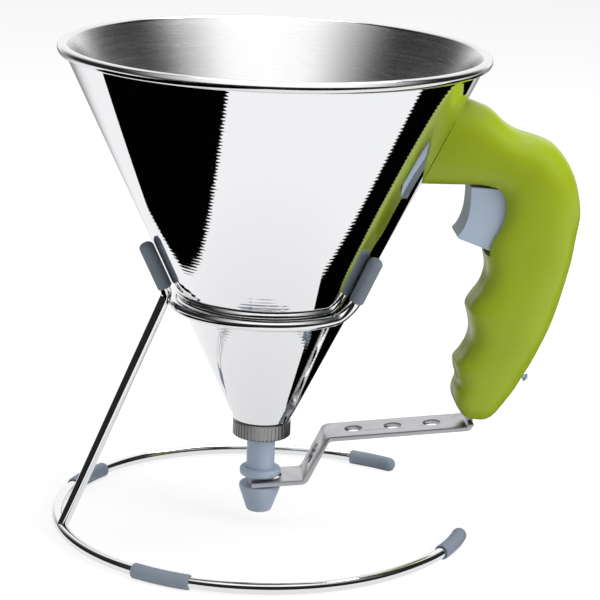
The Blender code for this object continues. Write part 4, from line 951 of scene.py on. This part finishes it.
def build_handle_half(name, side, node_name):
    """One moulded half, hollowed for the works, the bracket, the screws and the button."""
    body = handle_form(name)
    inner = side * GAP / 2
    outer = side * (HANDLE_WIDTH / 2 + 0.004)
    keep = block(name + "_keep", (0, min(inner, outer), HANDLE_FOOT - 0.004),
                 (HANDLE_REACH + 0.004, max(inner, outer), HANDLE_FOOT + HANDLE_HEIGHT + 0.004))
    boolean(body, keep, "INTERSECT")
    low = grip(0.0, PAD_SHARES[0])[1] - 0.02
    boolean(body, cone_band(name + "_cone", None, GAP / math.cos(CONE_LEAN), low, RIM_HEIGHT))
    boolean(body, pad_recess(name + "_pad"))
    boolean(body, tongue_slot(name + "_tongue"))
    hollows = (
        (POCKET_SHARES, TRIGGER_WIDTH / 2), (TAIL_POCKET_SHARES, TAIL_HALF_WIDTH), (CHANNEL_SHARES, 0.0040),
        (CHAMBER_SHARES, 0.0060), (MOUTH_SHARES, 0.0045), (RELIEF_SHARES, STRIP_WIDTH / 2),
    )
    for i, (shares, half) in enumerate(hollows):
        boolean(body, prism("%s_hollow_%d" % (name, i), grip_outline(shares), half + POCKET_GAP))
    foot = grip(*TRIGGER_PIN)[1] + 0.004
    boolean(body, rod(name + "_spring", 0.0042, (SPRING_X, 0, foot), (SPRING_X, 0, grip(0.0, SPRING_TOP_SHARE)[1])))
    reach = HANDLE_WIDTH / 2 - 0.0032 + GAP
    for shares in (TRIGGER_PIN, ROCKER_PIN):
        boolean(body, cross_hole(name + "_pin", shares, PIN_RADIUS + GAP, -reach, reach))
    point = -HANDLE_WIDTH / 2 + SCREW_POINT_DEPTH - GAP
    head = HANDLE_WIDTH / 2 - SCREW_HEAD_DEPTH - GAP
    for shares in SCREW_SHARES:
        boolean(body, cross_hole(name + "_screw", shares, SCREW_RADIUS + GAP, point, HANDLE_WIDTH))
        boolean(body, cross_hole(name + "_head", shares, SCREW_HEAD_RADIUS + GAP, head, HANDLE_WIDTH))
    spot, out = button_line()
    bottom = spot - out * BUTTON_BORE_DEPTH
    boolean(body, rod(name + "_stem", BUTTON_STEM + GAP, bottom, spot + out * 0.004))
    boolean(body, rod(name + "_collar", BUTTON_COLLAR + GAP, bottom, spot - out * 0.0022))
    return seat(coat(baked(body, 32.0), "green"), "funnel", "handle_green", node_name)


def screw_tree():
    """One screw set on each point of a mesh."""
    tree, given, out = new_tree("screws in a row", (("Places", "Geometry"), ("Screw", "Object"),
                                                    ("Finish", "Material")))
    screw = node(tree, "GeometryNodeObjectInfo", {"Object": given["Screw"]})
    points = node(tree, "GeometryNodeMeshToPoints", {"Mesh": given["Places"]})
    put = node(tree, "GeometryNodeInstanceOnPoints", {"Points": points.outputs[0],
                                                      "Instance": screw.outputs["Geometry"]})
    end_tree(tree, put.outputs[0], given["Finish"], out)
    return tree


def build_screws():
    """Pan-head screws with a cross recess, pointing along Y."""
    head = HANDLE_WIDTH / 2 - SCREW_HEAD_DEPTH
    end = -HANDLE_WIDTH / 2 + SCREW_POINT_DEPTH
    profile = [
        (0.0, head + 0.0018), (0.0016, head + 0.00172), (0.0024, head + 0.0013),
        (SCREW_HEAD_RADIUS, head + 0.0006), (SCREW_HEAD_RADIUS, head), (SCREW_RADIUS, head),
        (SCREW_RADIUS, end + 0.0008), (0.0006, end), (0.0, end),
    ]
    screw = turned("one_screw", profile, 32, closed=False, centre=Vector((0, 0, 0)))
    for i, (wide, deep) in enumerate(((0.00035, 0.0015), (0.0015, 0.00035))):
        boolean(screw, block("cross_%d" % i, Vector((-wide, -deep, head + 0.0009)) - AXIS,
                             Vector((wide, deep, head + 0.004)) - AXIS))
    screw = baked(screw)
    screw.data.transform(Matrix.Rotation(-math.pi / 2, 4, "X"))
    mesh = bpy.data.meshes.new("handle_screws")
    mesh.from_pydata([tuple(Vector((grip(*s)[0], 0, grip(*s)[1])) + AXIS) for s in SCREW_SHARES], [], [])
    places = show(bpy.data.objects.new("handle_screws", mesh))
    row = grown(places, screw_tree(), {"Screw": screw, "Finish": finish("nickel")})
    bpy.data.objects.remove(screw, do_unlink=True)
    return seat(row, "funnel", "nut_nickel", "handle_screw_bracket", "handle_screw_shoulder",
                "handle_screw_grip", "handle_screw_foot")


# Trigger, arm and inner works

TRIGGER_SHARES = (
    (0.634, 0.735), (0.635, 0.700), (0.633, 0.664), (0.626, 0.632), (0.613, 0.604),
    (0.601, 0.590), (0.5985, 0.584), (0.604, 0.579), (0.660, 0.560), (0.717, 0.540),
    (0.733, 0.536), (0.763, 0.578), (0.776, 0.608), (0.789, 0.655), (0.799, 0.696), (0.797, 0.727),
    (0.702, 0.732),
)
TRIGGER_HOLLOW_SHARES = (
    (0.677, 0.493), (0.677, 0.560), (0.703, 0.655), (0.737, 0.668), (0.840, 0.668), (0.840, 0.493),
)
TAIL_SHARES = ((0.790, 0.722), (0.905, 0.722), (0.905, 0.758), (0.790, 0.758))
TAIL_HALF_WIDTH = 0.0050


def build_trigger(sizes):
    """The blade with its rounded finger side, its hub and the tail under the spring."""
    front = spline_points([Vector(p) for p in TRIGGER_SHARES[:6]], 6)
    shares = [tuple(p) for p in front] + list(TRIGGER_SHARES[6:])
    outline = eased(grip_outline(shares[:-1]) + [grip(*TRIGGER_SHARES[-1])], 0.0010, 3)
    blade = baked(bevelled(prism("trigger_blade", outline, TRIGGER_WIDTH / 2), sizes.trigger_edge, 5, 55.0))
    x, z = grip(*TRIGGER_PIN)
    half = TRIGGER_WIDTH / 2
    boolean(blade, rod("hub", 0.0045, (x, -half, z), (x, half, z)), "UNION")
    boolean(blade, prism("tail", grip_outline(TAIL_SHARES), TAIL_HALF_WIDTH), "UNION")
    boolean(blade, prism("inside", grip_outline(TRIGGER_HOLLOW_SHARES), 0.0048))
    boolean(blade, cross_hole("pin_bore", TRIGGER_PIN, 0.0023, -HANDLE_WIDTH, HANDLE_WIDTH))
    boolean(blade, cross_hole("drive_bore", DRIVE_PIN, 0.0018, -HANDLE_WIDTH, HANDLE_WIDTH))
    return seat(coat(baked(blade, 32.0), "blue_grey"), "trigger_body", "trigger_grey", "trigger")


# Two ends of the leg as shares of the handle, then lengths in metres
LEG_FOOT = (0.679, -0.009)
LEG_TOP = (0.706, 0.155)
UPPER_BEND = (0.0250, 0.0361)
FORK_HEIGHT = 0.01735
FORK_TILT_DEG = 4.7
FORK_START = 0.0036
FORK_HALF_OPENING = 0.0048
LOWER_BEND_X = 0.0168
STRIP_THICKNESS = 0.0018
FIRST_HOLE_X = 0.0355
HOLE_STEP = 0.0151
HOLE_RADIUS = 0.0035
SLOT_RADIUS = 0.0030
SLOT_REACH = 0.0012


def strip_corners():
    tilt = math.tan(math.radians(FORK_TILT_DEG))
    start = (-FORK_START, FORK_HEIGHT - FORK_START * tilt)
    lower = (LOWER_BEND_X, FORK_HEIGHT + LOWER_BEND_X * tilt)
    return [start, lower, UPPER_BEND, grip(*LEG_FOOT), grip(*LEG_TOP)]


def pierce(strip, name, spot, reach, radius):
    """A round hole square through the strip."""
    near, far = spot - reach, spot + reach
    boolean(strip, rod(name, radius, (near.x, 0, near.y), (far.x, 0, far.y), 64))


def build_arm(sizes):
    """The bent strip from the valve's fork up into the grip, with its three holes and its slot."""
    path = rounded_path([(x, z, 0) for x, z in strip_corners()], 0.0026, 12)
    upper, lower = [], []
    for i, point in enumerate(path):
        along = (path[min(i + 1, len(path) - 1)] - path[max(i - 1, 0)]).normalized()
        square = Vector((-along.y, along.x, 0))
        upper.append(point + square * STRIP_THICKNESS / 2)
        lower.append(point - square * STRIP_THICKNESS / 2)
    strip = prism("lift_strip", [(p.x, p.y) for p in upper + lower[::-1]], STRIP_WIDTH / 2)
    under, over = FORK_HEIGHT - 0.004, FORK_HEIGHT + 0.004
    boolean(strip, rod("fork_end", FORK_HALF_OPENING, (FORK_START, 0, under), (FORK_START, 0, over), 64))
    boolean(strip, block("fork_slot", (-0.02, -FORK_HALF_OPENING, under), (FORK_START, FORK_HALF_OPENING, over)))
    start = Vector(UPPER_BEND)
    end = Vector(grip(*LEG_FOOT))
    run = (end - start).normalized()
    square = Vector((-run.y, run.x))
    for i in range(3):
        x = FIRST_HOLE_X + HOLE_STEP * i
        pierce(strip, "hole_%d" % i, start + run * (x - start.x) / run.x, square * 0.004, HOLE_RADIUS)
    foot = Vector(strip_corners()[1])
    rise = (start - foot).normalized()
    middle = (start + foot) / 2
    square = Vector((-rise.y, rise.x))
    for name, turn in (("slot_low", -1), ("slot_high", 1)):
        pierce(strip, name, middle + rise * turn * SLOT_REACH, square * 0.002, SLOT_RADIUS)
    for name, side in (("leg_near", -1), ("leg_far", 1)):
        ys = sorted((side * 0.0045, side * 0.02))
        boolean(strip, block(name, (end.x - 0.0052, ys[0], end.y + 0.0016), (HANDLE_REACH, ys[1], 0.08)))
    strip = baked(bevelled(baked(strip, 30.0), sizes.strip_edge, 2, 60.0), 40.0)
    return seat(coat(strip, "strip"), "rocker_body", "arm_steel", "lift_arm")


def coil_tree():
    """A coil spring: a spiral line swept by a round section."""
    tree, given, out = new_tree("coil spring", (("Seed", "Geometry"), ("Turns", "Float"), ("Radius", "Float"),
                                                ("Length", "Float"), ("Wire", "Float"), ("Place", "Vector"),
                                                ("Finish", "Material")))
    line = node(tree, "GeometryNodeCurveSpiral", {"Resolution": 24, "Rotations": given["Turns"],
                                                  "Start Radius": given["Radius"],
                                                  "End Radius": given["Radius"],
                                                  "Height": given["Length"]})
    coil = swept(tree, line.outputs[0], given["Wire"], COIL_SIDES)
    moved = node(tree, "GeometryNodeTransform", {"Geometry": coil, "Translation": given["Place"]})
    end_tree(tree, moved.outputs[0], given["Finish"], out)
    return tree


def build_spring():
    """The coil over the trigger's tail, short enough at full squeeze to clear it."""
    wire = 0.0005
    bottom = grip(0.0, TAIL_SHARES[2][1])[1] + GAP + wire
    top = grip(0.0, SPRING_TOP_SHARE)[1] - GAP - wire
    seed = show(bpy.data.objects.new("return_coil", bpy.data.meshes.new("return_coil")))
    values = {"Turns": 5.0, "Radius": 0.0030, "Length": top - bottom, "Wire": wire,
              "Place": (AXIS_X + SPRING_X, 0.0, bottom), "Finish": finish("nickel")}
    coil = grown(seed, coil_tree(), values)
    seat(coil, "funnel", "nut_nickel", "return_spring")
    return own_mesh(coil)


def build_button():
    """The round-headed stud at the back of the grip."""
    spot, out = button_line()
    profile = [
        (0.0, 0.0026), (0.0008, 0.00248), (0.0013, 0.0022), (0.0016, 0.0018), (0.0015, 0.0015),
        (BUTTON_STEM, 0.0014), (BUTTON_STEM, -0.0025), (BUTTON_COLLAR, -0.0025), (BUTTON_COLLAR, -0.0037),
        (BUTTON_STEM, -0.0037), (BUTTON_STEM, -0.0067), (0.0, -0.0067),
    ]
    stud = turned("button_stud", profile, 40, closed=False, centre=Vector((0, 0, 0)))
    stud.data.transform(Matrix.Translation(spot + AXIS) @ out.to_track_quat("Z", "Y").to_matrix().to_4x4())
    return seat(coat(stud, "blue_grey"), "button_body", "trigger_grey", "release_button")


def coat_inner_nodes():
    """The small inner pieces whose modelled shape is right keep it and get a real finish."""
    named = {
        "outlet_collar": "pin", "outlet_seal": "seal", "valve_bush": "white", "handle_bracket": "strip",
        "trigger_pin": "pin", "rocker_pin": "pin", "drive_pin": "pin", "rocker": "white", "valve_ring": "seal",
    }
    for name, kind in named.items():
        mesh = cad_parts[name].data
        mesh.materials.clear()
        mesh.materials.append(finish(kind))


# Stage

WHITE = (1.0, 1.0, 1.0, 1.0)
FALL_MIDDLE = 0.006
CAMERA_LENS_MM = 137.9
CAMERA_YAW_PITCH_ROLL_DEG = (4.87, 15.09, 2.33)
CAMERA_PLACE = Vector((-0.0586, -0.8379, 0.3156))


def bare_material(name):
    """A material whose tree holds only its output."""
    material = bpy.data.materials.new(name)
    material.use_nodes = True
    material.node_tree.nodes.clear()
    return material, material.node_tree, material.node_tree.nodes.new("ShaderNodeOutputMaterial")


def sorted_rays(tree, out, first_kind, second_kind, other, first, second):
    """Shade rays of the second kind with one shader, of the first kind with another, and the rest plainly."""
    rays = tree.nodes.new("ShaderNodeLightPath").outputs
    mixed = node(tree, "ShaderNodeMixShader", {0: rays[first_kind], 1: other.outputs[0], 2: first.outputs[0]})
    all_rays = node(tree, "ShaderNodeMixShader", {0: rays[second_kind], 1: mixed.outputs[0], 2: second.outputs[0]})
    tree.links.new(all_rays.outputs[0], out.inputs[0])


def emission_floor():
    """A pale floor: white to the eye, glowing in reflections with painted shade near the funnel's axis and dimmer
    towards the back, and plain matt paper for the light.
    """
    material, tree, out = bare_material("pale floor")
    paper = node(tree, "ShaderNodeBsdfDiffuse", {"Color": (0.8, 0.8, 0.8, 1.0)})
    thin = node(tree, "ShaderNodeBsdfDiffuse", {"Color": (0.30, 0.30, 0.31, 1.0)})
    glow = node(tree, "ShaderNodeEmission", {"Color": WHITE, "Strength": 0.78})
    seen = node(tree, "ShaderNodeAddShader", {0: thin.outputs[0], 1: glow.outputs[0]})
    where = tree.nodes.new("ShaderNodeTexCoord").outputs["Object"]
    fall = spread(tree, parts_of(tree, where)["Y"], 1.0, 0.33, 0.25, 0.65, "SMOOTHSTEP")
    # painted shade: in reflections the floor glows less near the funnel's axis
    from_axis = node(tree, "ShaderNodeVectorMath", {0: where, 1: tuple(AXIS)}, operation="DISTANCE")
    shade = spread(tree, from_axis.outputs["Value"], 0.77, 0.945, 0.03, 0.14)
    level = maths(tree, "MULTIPLY", fall, shade)
    mirror = node(tree, "ShaderNodeEmission", {"Color": (0.985, 0.99, 1.0, 1.0), "Strength": level})
    sorted_rays(tree, out, "Is Camera Ray", "Is Glossy Ray", paper, seen, mirror)
    return material


def card(name, corners, level=0.0006, fall=None):
    """A flat card that only reflections see, nearly black or fading towards its two sides."""
    mesh = bpy.data.meshes.new(name)
    mesh.from_pydata([tuple(Vector(corner) + AXIS) for corner in corners], [], [tuple(range(len(corners)))])
    obj = show(bpy.data.objects.new(name, mesh))
    material, tree, out = bare_material(name)
    glow = node(tree, "ShaderNodeEmission", {"Color": WHITE, "Strength": level})
    if fall:
        where = parts_of(tree, tree.nodes.new("ShaderNodeTexCoord").outputs["Object"])
        away = maths(tree, "ABSOLUTE", maths(tree, "SUBTRACT", where["X"], AXIS_X + FALL_MIDDLE))
        ramp = node(tree, "ShaderNodeValToRGB", {"Fac": away})
        ramp.color_ramp.elements[0].position = fall[0][0]
        ramp.color_ramp.elements[1].position = fall[-1][0]
        for place, share in fall[1:-1]:
            ramp.color_ramp.elements.new(place)
        for element, (place, share) in zip(ramp.color_ramp.elements, fall):
            element.color = (share, share, share, 1.0)
        tree.links.new(ramp.outputs["Color"], glow.inputs["Color"])
    tree.links.new(glow.outputs[0], out.inputs[0])
    mesh.materials.append(material)
    obj.visible_camera = obj.visible_diffuse = obj.visible_shadow = False


def studio_world(scene):
    """White all round for the eye; for reflections a dark room before the object, white behind and above."""
    world = bpy.data.worlds.new("studio")
    scene.world = world
    world.use_nodes = True
    tree = world.node_tree
    tree.nodes.clear()
    out = tree.nodes.new("ShaderNodeOutputWorld")
    way = parts_of(tree, tree.nodes.new("ShaderNodeTexCoord").outputs["Generated"])
    behind = spread(tree, way["Y"], 0.0, 1.0, 0.30, 0.55, "SMOOTHSTEP")
    for start, end in ((0.50, 0.85), (-0.25, -0.75)):
        aside = spread(tree, way["X"], 1.0, 0.0, start, end, "SMOOTHSTEP")
        behind = maths(tree, "MULTIPLY", behind, aside)
    above = spread(tree, way["Z"], 0.0, 1.0, 0.94, 1.0, "SMOOTHSTEP")
    level = spread(tree, maths(tree, "MAXIMUM", behind, above), 0.02, 1.0)
    soft, mirror, white = (node(tree, "ShaderNodeBackground", {"Color": WHITE, "Strength": strength})
                           for strength in (0.29, level, 1.0))
    sorted_rays(tree, out, "Is Glossy Ray", "Is Camera Ray", soft, mirror, white)


def softbox(name, place, target, width, height, watts):
    """A lamp with a bright face, turned to a point beside the funnel's axis."""
    light = bpy.data.lights.new(name, "AREA")
    light.shape = "RECTANGLE"
    light.size = width
    light.size_y = height
    light.energy = watts
    obj = show(bpy.data.objects.new(name, light))
    place = Vector(place) + AXIS
    obj.location = place
    obj.rotation_euler = (place - Vector(target) - AXIS).to_track_quat("Z", "Y").to_euler()
    return obj


def photo_camera(scene):
    """The camera's place and turn, measured from the funnel's axis."""
    data = bpy.data.cameras.new("camera")
    data.lens = CAMERA_LENS_MM
    data.sensor_width = 36.0
    data.clip_start = 0.01
    camera = show(bpy.data.objects.new("camera", data))
    yaw, pitch, roll = (math.radians(v) for v in CAMERA_YAW_PITCH_ROLL_DEG)
    ahead = Vector((math.sin(yaw) * math.cos(pitch), math.cos(yaw) * math.cos(pitch), -math.sin(pitch)))
    level = Vector((math.cos(yaw), -math.sin(yaw), 0.0))
    rise = level.cross(ahead)
    right = level * math.cos(roll) + rise * math.sin(roll)
    top = -level * math.sin(roll) + rise * math.cos(roll)
    turn = Matrix((right, top, -ahead)).transposed().to_4x4()
    turn.translation = CAMERA_PLACE + AXIS
    camera.matrix_world = turn
    scene.camera = camera


def build_stage(scene):
    scene.view_settings.view_transform = "Standard"
    mesh = bpy.data.meshes.new("floor")
    reach = 2.5
    mesh.from_pydata([(-reach, -reach, 0), (reach, -reach, 0), (reach, reach, 0), (-reach, reach, 0)], [],
                     [(0, 1, 2, 3)])
    floor = show(bpy.data.objects.new("floor", mesh))
    mesh.materials.append(emission_floor())
    low = 0.0006
    left = ((-0.086, -0.190), (-0.115, -0.047), (-0.135, 0.050), (-0.175, 0.152), (-0.262, 0.138),
            (-0.60, 0.08), (-0.60, -0.45), (-0.03, -0.45))
    card("dark_card_left", [(x, y, low) for x, y in left])
    right = ((0.092, -0.056), (0.160, -0.036), (0.235, -0.017), (0.60, 0.09), (0.60, 0.60), (0.22, 0.36),
             (0.11, 0.30), (0.040, 0.20), (0.045, 0.004), (0.049, -0.009), (0.060, -0.018), (0.076, -0.030))
    card("dark_card_right", [(x, y, low) for x, y in right])
    front = ((-2.0, -2.4), (2.0, -2.4), (2.0, -0.36), (-2.0, -0.36))
    card("dark_card_front", [(x, y, low * 2) for x, y in front])
    fall = ((0.0, 1.0), (0.080, 0.95), (0.115, 0.75), (0.155, 0.52), (0.21, 0.33), (0.29, 0.13), (0.43, 0.04),
            (0.85, 0.01))
    card("bright_card_above", ((-0.9, -0.1745, 0.222), (0.9, -0.1745, 0.222), (0.9, 0.036, 0.501),
                               (-0.9, 0.036, 0.501)), 1.20, fall)
    studio_world(scene)
    softbox("softbox_above", (0.2, 0.05, 1.15), (0.05, 0, 0.1), 0.95, 0.8, 11.5)
    for name, place, watts in (("softbox_right", (1.0, -0.60, 0.65), 10.5), ("softbox_left", (-1.1, 0.15, 0.5), 2.0),
                               ("softbox_front", (-0.80, -0.85, 0.15), 2.0)):
        softbox(name, place, (0.05, 0, 0.12), 0.7, 0.8, watts).visible_glossy = False
    photo_camera(scene)


# Add-on classes

def whole(name, text, value, low, high):
    return IntProperty(name=name, description=text, default=value, min=low, max=high)


def length(name, text, value, low, precision=5):
    return FloatProperty(name=name, description=text, default=value, min=low, unit="LENGTH", precision=precision)


def colour(name, text, value):
    return FloatVectorProperty(name=name, description=text, default=value, size=3, min=0.0, max=1.0,
                               subtype="COLOR")


class DispenserSizes(bpy.types.PropertyGroup):
    """Small sizes that the finished pieces take."""

    round_steps: whole("Round steps", "Flats round the funnel", 256, 48, 400)
    turning_pitch: length("Turning pitch", "Distance of the turning lines outside", 0.00135, 0.0002)
    turning_depth: length("Turning depth", "Depth of the turning lines outside", 0.000013, 0.0, 6)
    brush_pitch: length("Brush pitch", "Distance of the brush lines inside", 0.00065, 0.0001)
    knurl_ridges: whole("Knurl ridges", "Ridges round the union nut", 46, 12, 90)
    knurl_depth: length("Knurl depth", "Depth of the grooves round the union nut", 0.00035, 0.0)
    rubber_edge: length("Rubber edge", "Rounding at the mouth of a cap or sleeve", 0.0004, 0.00005)
    strip_edge: length("Strip edge", "Rounding of the lift arm's edges", 0.0002, 0.00002)
    trigger_edge: length("Trigger edge", "Rounding of the trigger's edges", 0.0019, 0.0001)


class DispenserColours(bpy.types.PropertyGroup):
    """Colours of the finishes."""

    steel: colour("Polished steel", "Outside of the funnel", (0.93, 0.93, 0.94))
    bead: colour("Bead", "Rolled rim of the funnel", (0.84, 0.84, 0.85))
    brushed: colour("Brushed steel", "Inside of the funnel", (0.80, 0.80, 0.81))
    wire: colour("Wire", "Plated wire of the stand", (0.90, 0.90, 0.90))
    strip: colour("Strip", "Lift arm", (0.50, 0.495, 0.515))
    nickel: colour("Nickel", "Union nut, screws and spring", (0.41, 0.41, 0.415))
    green: colour("Green", "Handle", (0.264, 0.347, 0.0076))
    blue_grey: colour("Blue grey", "Trigger, valve and button", (0.363, 0.435, 0.540))
    rubber: colour("Rubber", "Caps and sleeves", (0.185, 0.224, 0.272))


class DISPENSER_OT_stage(bpy.types.Operator):
    """Make the floor, the studio and the camera"""

    bl_idname = "dispenser.stage"
    bl_label = "Stage"

    def execute(self, context):
        build_stage(context.scene)
        return {"FINISHED"}


class DISPENSER_OT_funnel(bpy.types.Operator):
    """Make the polished and brushed funnel with its rolled rim"""

    bl_idname = "dispenser.funnel"
    bl_label = "Funnel"

    def execute(self, context):
        build_funnel(context.scene.dispenser_sizes)
        return {"FINISHED"}


class DISPENSER_OT_outlet(bpy.types.Operator):
    """Make the knurled union nut and the nozzle valve"""

    bl_idname = "dispenser.outlet"
    bl_label = "Outlet"

    def execute(self, context):
        build_nut(context.scene.dispenser_sizes)
        build_nozzle()
        return {"FINISHED"}


class DISPENSER_OT_stand(bpy.types.Operator):
    """Make the stand's plated wires"""

    bl_idname = "dispenser.stand"
    bl_label = "Wire stand"

    def execute(self, context):
        build_stand()
        return {"FINISHED"}


class DISPENSER_OT_rubber(bpy.types.Operator):
    """Make the rubber caps and sleeves"""

    bl_idname = "dispenser.rubber"
    bl_label = "Caps and sleeves"

    def execute(self, context):
        build_rubber(context.scene.dispenser_sizes)
        return {"FINISHED"}


class DISPENSER_OT_handle(bpy.types.Operator):
    """Make the handle's two moulded halves, its screws and its button"""

    bl_idname = "dispenser.handle"
    bl_label = "Handle"

    def execute(self, context):
        build_handle_half("grip_near", -1, "handle_near")
        build_handle_half("grip_far", 1, "handle_far")
        build_screws()
        build_button()
        return {"FINISHED"}


class DISPENSER_OT_trigger(bpy.types.Operator):
    """Make the trigger and its return spring"""

    bl_idname = "dispenser.trigger"
    bl_label = "Trigger"

    def execute(self, context):
        build_trigger(context.scene.dispenser_sizes)
        build_spring()
        return {"FINISHED"}


class DISPENSER_OT_arm(bpy.types.Operator):
    """Make the bent lift arm and finish the inner pieces"""

    bl_idname = "dispenser.arm"
    bl_label = "Lift arm"

    def execute(self, context):
        build_arm(context.scene.dispenser_sizes)
        coat_inner_nodes()
        return {"FINISHED"}


STEPS = (
    DISPENSER_OT_stage, DISPENSER_OT_funnel, DISPENSER_OT_outlet, DISPENSER_OT_stand, DISPENSER_OT_rubber,
    DISPENSER_OT_handle, DISPENSER_OT_trigger, DISPENSER_OT_arm,
)


class DISPENSER_PT_panel(bpy.types.Panel):
    """Lists the pieces of the dispenser"""

    bl_idname = "DISPENSER_PT_panel"
    bl_label = "Batter dispenser"
    bl_space_type = "VIEW_3D"
    bl_region_type = "UI"
    bl_category = "Dispenser"

    def draw(self, context):
        for step in STEPS:
            self.layout.operator(step.bl_idname)
        for group in (context.scene.dispenser_sizes, context.scene.dispenser_colours):
            for name in group.__annotations__:
                self.layout.prop(group, name)


CLASSES = (DispenserSizes, DispenserColours, *STEPS, DISPENSER_PT_panel)


def register():
    for kind in CLASSES:
        bpy.utils.register_class(kind)
    bpy.types.Scene.dispenser_sizes = PointerProperty(type=DispenserSizes)
    bpy.types.Scene.dispenser_colours = PointerProperty(type=DispenserColours)


def unregister():
    del bpy.types.Scene.dispenser_colours
    del bpy.types.Scene.dispenser_sizes
    for kind in reversed(CLASSES):
        bpy.utils.unregister_class(kind)


def main():
    register()
    for step in STEPS:
        group, name = step.bl_idname.split(".")
        getattr(getattr(bpy.ops, group), name)()


if __name__ == "__main__":
    main()
